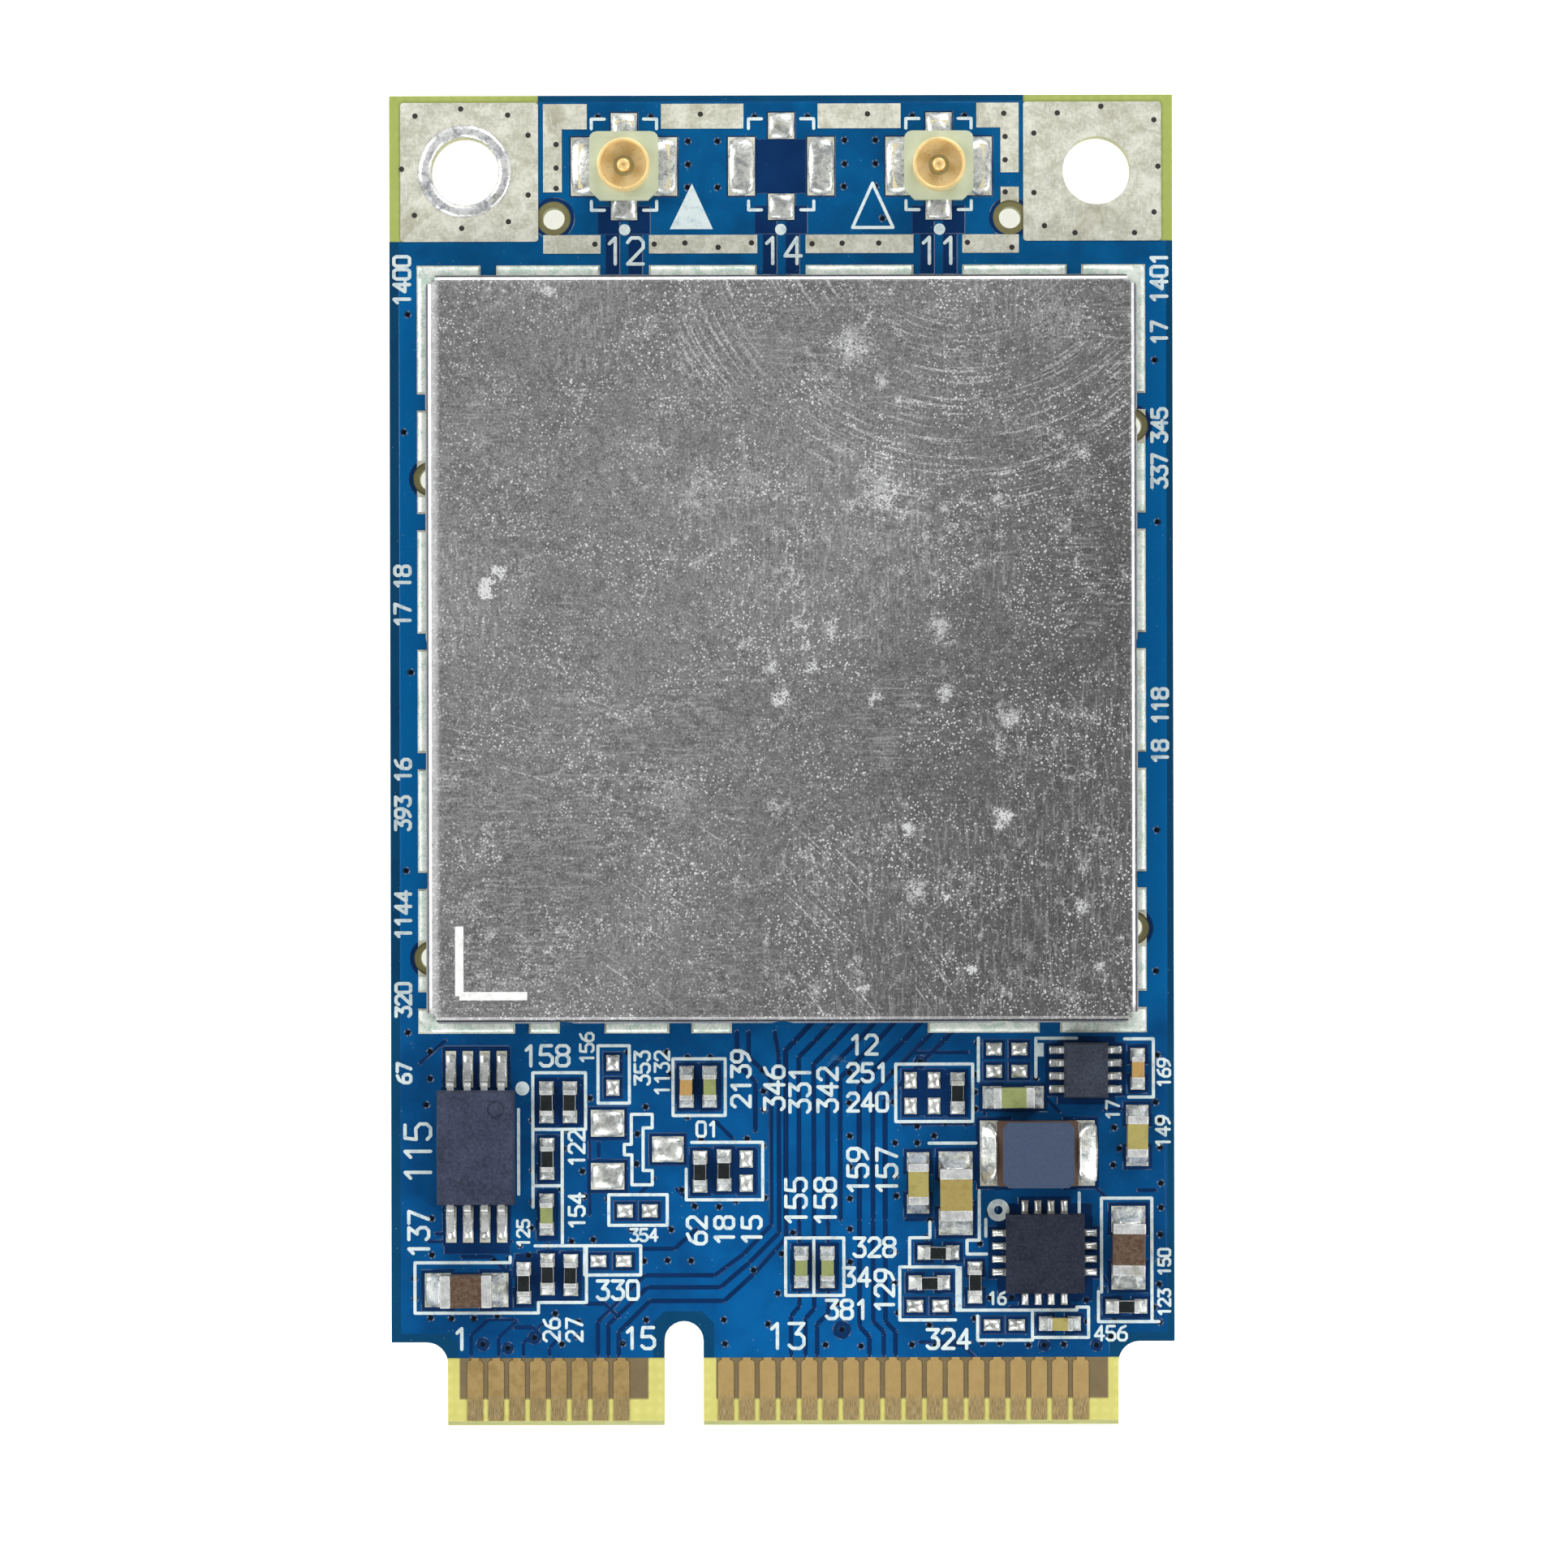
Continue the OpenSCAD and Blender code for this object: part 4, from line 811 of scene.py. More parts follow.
def gold_contact_finish():
    f = Finish("contact_gold", IOR=1.5)
    grain = f.noise(5.0, 4.0)
    drag = f.noise(3.0, 4.0, 0.7, at=f.stretch(9, 0.5))
    fine = f.noise(9.0, 3.0, 0.7, at=f.stretch(8, 0.35))
    reach = f.fade(f.y + drag * 0.9, -23.75, -24.15)
    worn = reach * f.fade(fine, 0.44, 0.54)
    tarnish = f.fade(f.noise(2.6, 5.0, 0.65), 0.40, 0.66)
    gold = f.mix(tarnish, (0.50, 0.345, 0.135), (0.39, 0.265, 0.10))
    gold = f.mix(f.fade(f.x, -4.5, -2.0) * 0.6, gold, (0.60, 0.41, 0.16))
    gold = f.mix(f.fade(drag, 0.52, 0.68) * 0.35, gold, (0.62, 0.47, 0.22))
    gold = f.mix(reach * f.fade(drag, 0.46, 0.6) * 0.5, gold, (0.70, 0.60, 0.36))
    colour = f.mix(worn * 0.8, gold, (0.17, 0.13, 0.062))
    return f.dress(colour, 0.32 + grain * 0.16 + worn * 0.15, 0.45, drag * 0.5 + fine * 0.5, 0.006)


# %% [markdown]
# ### The can's sheet
#
# The lid is one flat grey field, so its finish has to carry the whole look: cloudy plating,
# sparkles of two sizes, rubbing along and across the sheet, arcs round two points off its edge and
# a few dried drops. Each of these is a mask of its own. They are added up, the sum is cut off at 1,
# and it mixes the dull grey with near white, so one can be turned up without touching the others.

# %% Material of the can
# dried drops and scuffs on the lid: centre, radius and how bright
SMUDGES = [(-11.2, 6.6, 0.34, 3.0), (-10.8, 7.2, 0.32, 3.0), (2.7, 15.7, 0.75, 0.6),
           (3.8, 14.4, 0.40, 0.6), (-8.8, 17.8, 0.35, 0.9), (3.6, 10.5, 1.0, 0.4),
           (4.0, 9.9, 0.45, 0.6), (-1.2, 10.6, 1.1, 0.2), (-3.0, 10.0, 1.0, 0.2),
           (11.4, 11.6, 0.45, 0.7), (1.9, 5.0, 0.32, 0.9), (0.7, 5.2, 0.25, 0.8),
           (0.9, 4.3, 0.25, 0.8), (1.1, 3.6, 0.25, 0.9), (-1.4, 4.4, 0.35, 0.6),
           (-0.5, 3.6, 0.35, 0.7), (0.0, 2.4, 0.42, 1.0), (3.5, 2.3, 0.28, 1.0),
           (6.2, 2.6, 0.40, 0.8), (8.4, -2.2, 0.50, 1.1), (4.8, -2.6, 0.26, 1.1),
           (6.0, 5.0, 0.55, 0.6), (5.0, -5.0, 0.50, 0.6), (3.1, -8.8, 0.28, 0.9),
           (12.0, -7.8, 0.28, 0.9), (7.1, -7.9, 0.22, 1.1), (6.2, -5.2, 0.20, 1.2),
           (-8.8, -7.3, 0.24, 0.9), (8.7, 1.6, 0.50, 0.6), (11.4, -5.6, 0.38, 0.7),
           (10.5, 16.6, 1.3, 0.2), (-4.0, -1.2, 1.1, 0.15)]
SWAY = 1.4
# points that curved scratches run round: centre, nearest and farthest scratch, and how sparse
SCRATCH_CENTRES = [(6.9, 21.5, 3.5, 14.5, 0.53), (-17.0, -24.0, 16.0, 31.0, 0.60)]


def tinplate_finish():
    f = Finish("tinplate", IOR=1.5)
    cloud = f.noise(0.12, 5.0, 0.6, twist=0.3)
    grain = f.noise(3.2, 4.0, 0.7)
    fine = f.noise(12.0, 2.0, 0.7)
    tone = cloud * 0.20 + grain * 0.32 + fine * 0.48
    colour = f.mix(f.fade(tone, 0.34, 0.66), (0.115, 0.115, 0.116), (0.350, 0.347, 0.350))
    # painted shade: the lid darkens towards the lower right, blotched by the cloud, as the light
    # falls from the upper left
    tarnish = f.fade(f.x * 0.9 - f.y * 0.4 + (cloud - 0.5) * 12.0, -5.0, 14.0)
    colour = f.mix(tarnish * 0.57, colour, (0.004, 0.004, 0.005))
    # pin-prick sparkles of two sizes, crowded in some places
    crowd = f.fade(f.noise(0.35, 6.0, 0.7), 0.42, 0.60) * 0.75 + 0.25
    speck = f.noise(6.5, 4.0, 0.8)
    spark = f.fade(f.cells(7.5) + (fine - 0.5) * 0.55, 0.30, 0.18) * crowd
    spark = spark + f.fade(speck, 0.59, 0.67) * crowd
    big = f.fade(f.cells(2.9) + (speck - 0.5) * 0.35, 0.17, 0.09) * crowd
    # faint rubbing along and across the sheet, each in its own zones
    zone = f.noise(0.13, 2.0)
    across = f.noise(1.0, 3.0, 0.6, at=f.stretch(8.0, 0.9)) * f.fade(zone, 0.45, 0.58)
    along = f.noise(1.0, 3.0, 0.6, at=f.stretch(0.9, 8.0)) * f.fade(zone, 0.55, 0.42)
    rub = f.fade(across + along, 0.50, 0.66) * 0.16
    # wiped smears, broken into specks
    broken = f.fade(fine * 0.5 + grain * 0.5, 0.46, 0.60)
    smear = f.fade(f.noise(0.42, 7.0, 0.75, twist=1.6), 0.52, 0.68) * broken * 0.65
    # fine arcs left by handling, about two points off to one side
    arcs = 0
    for cx, cy, near, far, level in SCRATCH_CENTRES:
        reach = f.reach(cx, cy, lid_top)
        ring = f.vector(reach * 8.0, f.x * 0.3, f.y * 0.3 + cx)
        where = f.fade(reach, near, near + 2.0) * f.fade(reach, far, far - 3.0)
        where = where * f.fade(f.noise(0.25, 3.0), 0.40, 0.60) * f.fade(fine, 0.36, 0.56)
        arcs = f.fade(f.noise(1.0, 3.0, 0.6, at=ring), level, level + 0.09) * where + arcs
    # smudges whose outlines a noise has pushed about by up to half of SWAY
    push = f.noise(2.2, 4.0, 0.75, out="Color")
    shaken = f.vector_math("MULTIPLY_ADD", push, (SWAY, SWAY, 0), f.mm)
    smudge = 0
    for x, y, radius, level in SMUDGES:
        reach = f.reach(x + SWAY / 2, y + SWAY / 2, lid_top, at=shaken)
        smudge = f.fade(reach, radius * 1.1, radius * 0.4) * level + smudge
    smudge = smudge * f.fade(fine * 0.6 + grain * 0.4, 0.40, 0.56)
    # painted highlight: the left rim of the lid's top is lightened, where the light catches it
    worn = f.fade(f.x, -12.95, -13.2) * f.fade(f.z, 2.9, 2.92) * (0.1 + grain * 0.9)
    lift = spark * 0.9 + big + smear + arcs * 0.5 + rub + worn + smudge * 0.9
    colour = f.mix(lift.least(1.0), colour, (0.98, 0.98, 0.98))
    pit = f.fade(f.cells(4.1), 0.20, 0.10) * f.noise(1.3).above(0.5)
    colour = f.mix(pit * 0.5, colour, (0.05, 0.05, 0.05))
    # painted highlight along the bend, weaker along the bottom edge, and painted shade on the
    # bend's steeper lower part
    up = f.facing("Z")
    bend_highlight = f.fade(up, 0.999, 0.96) * f.fade(up, 0.68, 0.80)
    bend_highlight = bend_highlight * (f.fade(f.y, -9.6, -9.2) * 0.75 + 0.25)
    # painted shade on the steep lower part of the bend
    under = f.fade(up, 0.78, 0.66) * f.fade(up, 0.05, 0.25) * f.fade(f.z, 2.5, 2.6)
    colour = f.mix(bend_highlight * (0.45 + grain * 0.7), colour, (0.93, 0.93, 0.94))
    colour = f.mix(under * 0.9, colour, (0.020, 0.020, 0.022))
    # painted highlight on the flared lip at the foot of the skirt
    foot = f.fade(f.z, 1.66, 1.60)
    colour = f.mix(foot * 0.6, colour, (0.50, 0.52, 0.56))
    rough = 0.38 + cloud * 0.15 - lift.least(1.0) * 0.1
    return f.dress(colour, rough, 0.5, fine * 0.5 + grain * 0.5, 0.005)


# %% [markdown]
# ### The receptacles' gold
#
# The antenna receptacles are turned brass with a bright plating. Down in the ring, the faces that
# look up get their light from the gold walls around them, so they are a paler yellow. Height and
# direction together find those faces, so one material does for the whole shell.

# %% Material of the receptacles, and all the metals
def plated_gold_finish():
    f = Finish("plated_gold", IOR=1.5)
    haze = f.noise(4.0, 4.0)
    inside = f.fade(f.z, 1.62, 1.52) * f.fade(f.facing("Z"), 0.6, 0.9)
    wall = f.mix(haze, (0.92, 0.66, 0.27), (1.0, 0.78, 0.38))
    colour = f.mix(inside, wall, f.mix(haze, (0.97, 0.83, 0.45), (1.0, 0.93, 0.66)))
    pool = f.fade(f.noise(0.9, 3.0, twist=0.5), 0.52, 0.66)
    colour = f.mix(pool * 0.25, colour, (0.45, 0.34, 0.16))
    return f.dress(colour, 0.20 + haze * 0.2, 0.3, haze, 0.003)


tinned = tinned_finish("tinned_copper", (0.81, 0.81, 0.70), (0.54, 0.54, 0.43))
solder = solder_finish("solder_joint", (0.46, 0.49, 0.48), (0.97, 0.98, 0.92), 0.65)
can_solder = solder_finish("can_solder", (0.62, 0.76, 0.66), (0.95, 1.0, 0.92), 0.25, 0.008)
ring_solder = solder_finish("ring_solder", (0.42, 0.44, 0.45), (0.95, 0.95, 0.95), 0.5)
contact_gold = gold_contact_finish()
tinplate = tinplate_finish()
shell_gold = plated_gold_finish()
lead_tin = tinned_finish("lead_tin", (0.80, 0.82, 0.80), (0.50, 0.52, 0.51), 3.0, 0.5)

# %% [markdown]
# ## Plastics and ceramics
#
# Moulded chip resin is a grey-black epoxy filled with glass grit, so it is matt and finely
# speckled. The receptacles sit in a cream heat-proof plastic. Chip capacitors are fired ceramic,
# from olive to brown by their recipe; the resistors are white alumina under a black glaze. The
# inductor is a dark ferrite wound with enamelled copper, and the print is a white ink that has
# come out thin in places. All of them are the same few steps: a grain, two tones and a little
# bump.

# %% Materials of the bodies
def resin_finish(name, dark, light, grit=9.0):
    f = Finish(name, IOR=1.5, Specular_IOR_Level=0.22)
    sand = f.noise(grit, 5.0, 0.75)
    cloud = f.noise(0.9, 3.0)
    colour = f.mix(f.fade(sand * 0.7 + cloud * 0.3, 0.34, 0.66), dark, light)
    colour = f.mix(f.fade(f.cells(grit * 0.9), 0.12, 0.04) * 0.35, colour, (0.20, 0.21, 0.23))
    return f.dress(colour, 0.5 + sand * 0.2, 0.0, sand, 0.014)


def ceramic_finish():
    f = Finish("capacitor_ceramic", IOR=1.6, Specular_IOR_Level=0.35)
    tint = f.attribute("tint", "Color")
    pores = f.noise(8.0, 4.0, 0.7)
    colour = f.mix(f.fade(pores, 0.35, 0.7) * 0.12, tint, (0.60, 0.55, 0.34))
    colour = f.mix(f.fade(f.noise(2.5, 3.0), 0.5, 0.8) * 0.35, colour, (0.05, 0.04, 0.02))
    return f.dress(colour, 0.35 + pores * 0.2, 0.0, pores, 0.008)


def insulator_finish():
    f = Finish("cream_insulator", IOR=1.5)
    flow = f.noise(1.6, 4.0, twist=0.4)
    colour = f.mix(flow, (0.46, 0.52, 0.35), (0.60, 0.66, 0.50))
    return f.dress(colour, 0.42 + flow * 0.15, 0.0, f.noise(7.0, 3.0), 0.006)


def print_finish(name, thin_ink, full_ink):
    f = Finish(name, IOR=1.5)
    thin = f.noise(3.5, 4.0, 0.7)
    colour = f.mix(f.fade(thin, 0.25, 0.55), thin_ink, full_ink)
    return f.dress(colour, 0.55 + thin * 0.2, 0.0, f.noise(12.0), 0.004)


def ferrite_finish():
    f = Finish("ferrite", IOR=1.6, Specular_IOR_Level=0.25)
    grain = f.noise(7.0, 5.0, 0.7)
    top = f.fade(f.facing("Z"), 0.6, 0.95) * f.fade(f.z, 2.3, 2.5)
    body = f.mix(grain, (0.030, 0.048, 0.092), (0.062, 0.088, 0.150))
    rust = f.mix(grain, (0.075, 0.045, 0.035), (0.13, 0.082, 0.058))
    return f.dress(f.mix(top, rust, body), 0.38 + grain * 0.25, 0.0, grain, 0.01)


def enamel_finish():
    f = Finish("enamelled_wire", IOR=1.5, Coat_Weight=0.5)
    turns = f.noise(3.0, 2.0)
    colour = f.mix(turns, (0.36, 0.10, 0.03), (0.62, 0.22, 0.07))
    return f.dress(colour, 0.25 + turns * 0.1, 0.6, turns, 0.004)


memory_resin = resin_finish("memory_resin", (0.015, 0.020, 0.039), (0.050, 0.061, 0.102))
switch_resin = resin_finish("switch_resin", (0.012, 0.017, 0.028), (0.044, 0.054, 0.078))
regulator_resin = resin_finish("regulator_resin", (0.005, 0.007, 0.017), (0.023, 0.028, 0.048))
inner_resin = resin_finish("inner_resin", (0.010, 0.011, 0.012), (0.035, 0.036, 0.038))
glaze = resin_finish("resistor_glaze", (0.003, 0.005, 0.005), (0.010, 0.014, 0.015), 5.0)
alumina = resin_finish("alumina", (0.55, 0.56, 0.52), (0.72, 0.72, 0.68), 6.0)
ceramic = ceramic_finish()
insulator = insulator_finish()
white_print = print_finish("white_print", (0.36, 0.48, 0.55), (0.64, 0.73, 0.72))
lid_ink = print_finish("lid_ink", (0.62, 0.62, 0.62), (0.82, 0.81, 0.79))
ferrite = ferrite_finish()
enamel = enamel_finish()
print(len(bpy.data.materials), "materials")

# %% [markdown]
# ### Solids that stay
#
# Lands, contacts, leads, can and chips are right as the CAD model made them, with their rounded
# bends and true heights. They only need a better finish, so each keeps its mesh and gets a new
# material in its slots.

# %% Which solids keep their own shape
KEPT = {tinned: ["mounting_lands", "ground_bars", "part_pads", "back_lands", "shield_lands"],
        contact_gold: ["contacts_top", "contacts_bottom"],
        tinplate: ["shield_fence", "shield_lid"],
        shell_gold: ["coax_a_shell", "coax_b_shell", "coax_a_pin", "coax_b_pin"],
        insulator: ["coax_a_base", "coax_b_base"],
        memory_resin: ["memory_chip"], switch_resin: ["switch_chip"],
        regulator_resin: ["regulator_chip"],
        lead_tin: ["memory_leads", "switch_leads", "regulator_pads", "inductor_ends"],
        ferrite: ["inductor_core"], enamel: ["inductor_coil"],
        inner_resin: ["mac_chip", "radio_chip", "power_amp_a", "power_amp_b", "inner_passives"],
        alumina: ["crystal", "rf_filters"]}
for finish, names in KEPT.items():
    for name in names:
        for place in solids[name].material_slots:
            place.material = finish
print(sum(len(n) for n in KEPT.values()), "solids keep their shape")

# %% [markdown]
# ## Small parts, by Geometry Nodes
#
# The chip resistors and capacitors are the same few shapes over and over, so each is modelled once
# and put on a cloud of points. Every point carries its turn and its colour. The tree nudges each
# part a little, as the oven does while the solder is wet, makes the copies real and hands out the
# materials by the `layer` number that the model's faces carry.

# %% Geometry Nodes in a few lines
class Recipe(Graph):
    """A Geometry Nodes tree with named inputs."""
    KINDS = {bool: "NodeSocketBool", int: "NodeSocketInt", float: "NodeSocketFloat",
             bpy.types.Object: "NodeSocketObject", bpy.types.Material: "NodeSocketMaterial"}

    def __init__(self, name, **inputs):
        super().__init__(bpy.data.node_groups.new(name, "GeometryNodeTree"))
        face = self.tree.interface
        face.new_socket("Geometry", in_out="INPUT", socket_type="NodeSocketGeometry")
        for label, value in inputs.items():
            socket = face.new_socket(label, in_out="INPUT", socket_type=self.KINDS[type(value)])
            if isinstance(value, (int, float)):
                socket.default_value = value
        face.new_socket("Geometry", in_out="OUTPUT", socket_type="NodeSocketGeometry")
        self.inputs = inputs
        self.entry = self.tree.nodes.new("NodeGroupInput")
        self.exit = self.tree.nodes.new("NodeGroupOutput")

    def given(self, label):
        return Wire(self.tree, self.entry.outputs[label])

    def named(self, name, kind="FLOAT"):
        return self.node("GeometryNodeInputNamedAttribute", {"data_type": kind},
                         {"Name": name}, "Attribute")

    def finish_with(self, geometry, material):
        """Sets the material and sends the result out."""
        done = self.node("GeometryNodeSetMaterial", None,
                         {"Geometry": geometry, "Material": material})
        self.tree.links.new(done.socket, self.exit.inputs[0])

    def run(self, name, seed_mesh, slot):
        """Runs the tree on a mesh and keeps the result as a plain mesh on one body."""
        piece = placed(name, seed_mesh)
        modifier = piece.modifiers.new("recipe", "NODES")
        modifier.node_group = self.tree
        for item in self.tree.interface.items_tree:
            if item.in_out == "INPUT" and item.name in self.inputs:
                modifier[item.identifier] = self.inputs[item.name]
        ready = bpy.context.evaluated_depsgraph_get()
        mesh = bpy.data.meshes.new_from_object(piece.evaluated_get(ready), depsgraph=ready,
                                               preserve_all_data_layers=True)
        piece.modifiers.clear()
        piece.data = mesh
        drop_unused_slots(mesh)
        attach(piece, "root")
        print(name, len(mesh.polygons), "faces", [m.name for m in mesh.materials])
        return piece


def drop_unused_slots(mesh):
    """Mesh primitives bring an empty material slot along, which nothing uses."""
    index = [face.material_index for face in mesh.polygons]
    used = sorted(set(index))
    keep = [mesh.materials[i] for i in used]
    mesh.materials.clear()
    for finish in keep:
        mesh.materials.append(finish)
    mesh.polygons.foreach_set("material_index", [used.index(i) for i in index])


def point_cloud(name, points, floats, tints=None):
    """Loose points, with the numbers and the tint that each carries."""
    mesh = mesh_of(name, points)
    for label, values in floats.items():
        mesh.attributes.new(label, "FLOAT", "POINT").data.foreach_set("value", values)
    if tints:
        colours = mesh.attributes.new("tint", "FLOAT_COLOR", "POINT").data
        colours.foreach_set("color", [c for tint in tints for c in (*tint, 1)])
    return mesh


# %% Models of a chip resistor and a chip capacitor
BODY, ENDS, BASE = range(3)


def soft_box(shape, corner, far_corner, turn, layer, steps):
    """Adds a block with edges rounded by turn, all in millimetres, and marks its faces."""
    mark = shape.faces.layers.int.get("layer") or shape.faces.layers.int.new("layer")
    made = bmesh.ops.create_cube(shape, size=1)["verts"]
    for v in made:
        v.co = Vector([(a + b) / 2 + c * (b - a) for a, b, c in zip(corner, far_corner, v.co)]) * MM
    old = set(shape.faces) - {f for v in made for f in v.link_faces}
    edges = list({e for v in made for e in v.link_edges})
    bmesh.ops.bevel(shape, geom=edges, offset=turn * MM, segments=steps, profile=0.5,
                    affect="EDGES")
    for face in set(shape.faces) - old:
        face[mark] = layer


def chip_model(name, size, resistor):
    length, width, height = size
    half, end = width / 2, 0.2 * length + 0.02
    inner = length / 2 - end + 0.03

    def block(shy, low, high, turn, layer, steps):
        soft_box(shape, (-inner, shy - half, low), (inner, half - shy, high), turn, layer, steps)

    shape = bmesh.new()
    if resistor:
        block(0.02, 0.02, height - 0.05, 0.02, BASE, 1)
        block(0.03, height - 0.07, height - 0.012, 0.02, BODY, 2)
    else:
        block(0.012, 0.02, height - 0.012, 0.03, BODY, 2)
    for s in SIDES:
        a, b = sorted((s * (length / 2 - end), s * length / 2))
        soft_box(shape, (a, -half, 0), (b, half, height), 0.055, ENDS, 3)
    return bpy.data.objects.new(name, mesh_from(shape, name))


# %% Recipe: parts seated on their pads
def seated(part, body, ends, base):
    for finish in (body, ends, base):
        if finish.name not in part.data.materials:
            part.data.materials.append(finish)
    r = Recipe("seated_parts", Part=part, Seed=3, Nudge=0.02 * MM, Twist=0.02,
               Body=body, Ends=ends, Base=base)
    model = r.node("GeometryNodeObjectInfo", None, {"Object": r.given("Part")}, "Geometry")
    shift = r.node("FunctionNodeRandomValue", {"data_type": "FLOAT_VECTOR"},
                   {"Min": (-1, -1, 0), "Max": (1, 1, 0), "Seed": r.given("Seed")}, "Value")
    sx, sy, _ = r.axes(shift)
    offset = r.vector(sx * r.given("Nudge"), sy * r.given("Nudge"))
    cloud = r.node("GeometryNodeSetPosition", None,
                   {"Geometry": r.given("Geometry"), "Offset": offset})
    turn = r.vector(z=r.named("turn") + sx * r.given("Twist"))
    copies = r.node("GeometryNodeInstanceOnPoints", None,
                    {"Points": cloud, "Instance": model, "Rotation": turn})
    real = r.node("GeometryNodeRealizeInstances", None, {"Geometry": copies})
    for layer, label in ((BODY, "Body"), (ENDS, "Ends"), (BASE, "Base")):
        chosen = r.node("FunctionNodeCompare", {"data_type": "INT", "operation": "EQUAL"},
                        {2: r.named("layer", "INT"), 3: layer}, "Result")
        real = r.node("GeometryNodeSetMaterial", None,
                      {"Geometry": real, "Selection": chosen, "Material": r.given(label)})
    r.tree.links.new(real.socket, r.exit.inputs[0])
    return r


# %% Seat the resistors and capacitors
model = chip_model("resistor_model", RESISTOR_SIZE, True)
cloud = point_cloud("resistor_places", [(x, y, pad_top) for x, y, _ in RESISTORS],
                    {"turn": [turn * math.pi / 2 for _, _, turn in RESISTORS]})
chip_resistors = seated(model, glaze, lead_tin, alumina).run("chip_resistors", cloud, "resistor")
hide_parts(*(f"resistor_{i + 1}" for i in range(len(RESISTORS))))

for size, label in enumerate(("small", "middle", "large")):
    chosen = [(f"capacitor_{i + 1}", c) for i, c in enumerate(CAPACITORS) if c[3] == size]
    model = chip_model(f"capacitor_model_{size}", CAPACITOR_SIZES[size], False)
    cloud = point_cloud("capacitor_places", [(c[0], c[1], pad_top) for _, c in chosen],
                        {"turn": [c[2] * math.pi / 2 for _, c in chosen]},
                        [c[4] for _, c in chosen])
    parts = seated(model, ceramic, lead_tin, ceramic)
    piece = parts.run(f"chip_capacitors_{label}", cloud, "capacitor_ceramic")
    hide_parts(*(node for node, _ in chosen))

# %% [markdown]
# ## Solder
#
# Molten solder pulls itself into cushions on empty pads and climbs the ends of the parts in a
# curved wedge. Both are one recipe: a block of a few faces is put on each pad, stretched to the
# pad's size, and its top is pushed to a curved height that the pad's own numbers set. `Lean` is 0
# for a cushion and 1 for a wedge that is high at the part's end.

# %% Recipe: solder on a pad
def solder_recipe(material):
    r = Recipe("solder_on_pads", Columns=9, Rows=9, Corner=0.55, Ripple=0.018 * MM, Grain=5500.0,
               Solder=material)
    block = r.node("GeometryNodeMeshCube", None,
                   {"Size": (2, 2, 2), "Vertices X": r.given("Columns"),
                    "Vertices Y": r.given("Rows"), "Vertices Z": 2}, "Mesh")
    x, y, z = r.axes(r.node("GeometryNodeInputPosition"))
    for label, value in (("px", x), ("py", y), ("pz", z)):
        block = r.node("GeometryNodeStoreNamedAttribute", {"data_type": "FLOAT", "domain": "POINT"},
                       {"Geometry": block, "Name": label, "Value": value})
    half_x, half_y, turn = r.named("length") * 0.5, r.named("width") * 0.5, r.named("turn")
    copies = r.node("GeometryNodeInstanceOnPoints", None,
                    {"Points": r.given("Geometry"), "Instance": block, "Rotation": r.vector(z=turn),
                     "Scale": r.vector(half_x, half_y)})
    real = r.node("GeometryNodeRealizeInstances", None, {"Geometry": copies})
    x, y, z = r.named("px"), r.named("py"), r.named("pz")
    corner = r.given("Corner")
    # round the plan's corners: shrink each side a little where the other is far out
    pull_x = x * half_x * ((1 - corner * y * y * 0.5) ** 0.5 - 1)
    pull_y = y * half_y * ((1 - corner * x * x * 0.5) ** 0.5 - 1)
    cos, sin = turn.math("COSINE", turn), turn.math("SINE", turn)
    along, across = pull_x * cos - pull_y * sin, pull_x * sin + pull_y * cos
    u = (x + 1) * 0.5
    cushion = ((1 - x * x) * (1 - y * y)).most(0.0) ** 0.85
    wedge = ((1 - u) ** 1.6 * 0.9 + 0.12) * (1 - y * y * y * y).most(0.0) ** 0.5 * (1 - u ** 8.0)
    lean = r.named("lean")
    bump = r.node("ShaderNodeTexNoise", None, {"Vector": r.node("GeometryNodeInputPosition"),
                  "Scale": r.given("Grain"), "Detail": 1.0}, "Fac")
    rise = (cushion * (1 - lean) + wedge * lean) * r.named("height")
    rise = rise + (bump - 0.5) * r.given("Ripple") * cushion
    lifted = (rise + 0.008 * MM) * (z + 1) * 0.5
    shaped = r.node("GeometryNodeSetPosition", None,
                    {"Geometry": real, "Offset": r.vector(along, across, lifted)})
    smooth = r.node("GeometryNodeSetShadeSmooth", None, {"Geometry": shaped})
    r.finish_with(smooth, r.given("Solder"))
    return r


# %% Solder on each pad, as x, y, length, width, turn, height and lean
CLIMB, TUCK = 0.85, 0.05
joints = []
for number_of_chip, chip in enumerate(chips):
    size = chip[3]
    part = RESISTOR_SIZE if number_of_chip < len(RESISTORS) else CAPACITOR_SIZES[size]
    for _, _, _, pad_width, way in chip_pads(*chip):
        # from just inside the part's end to the pad's far end
        start, stop = part[0] / 2 - TUCK, PAD_REACH[size]
        middle = (start + stop) / 2
        x, y = chip[0] + math.cos(way) * middle, chip[1] + math.sin(way) * middle
        joints.append((x, y, stop - start, pad_width, way, part[2] * CLIMB, 1.0))
for x, y, w, h in EMPTY_PADS:
    joints.append((x, y, w, h, 0.0, 0.11 if w < 1 else 0.16, 0.0))
outward = {-1: math.pi, 1: 0.0}
for x in SITES:
    fitted = 0 if x == SITES[1] else 1
    for s in SIDES:
        joints.append((x + s * COAX_SIDE[0], SITE_Y, *COAX_SIDE[1:], outward[s],
                       0.15 + 0.17 * fitted, 0.8 * fitted))
        joints.append((x, SITE_Y + s * COAX_END[0], *COAX_END[1:], s * math.pi / 2,
                       0.13 + 0.13 * fitted, 0.7 * fitted))
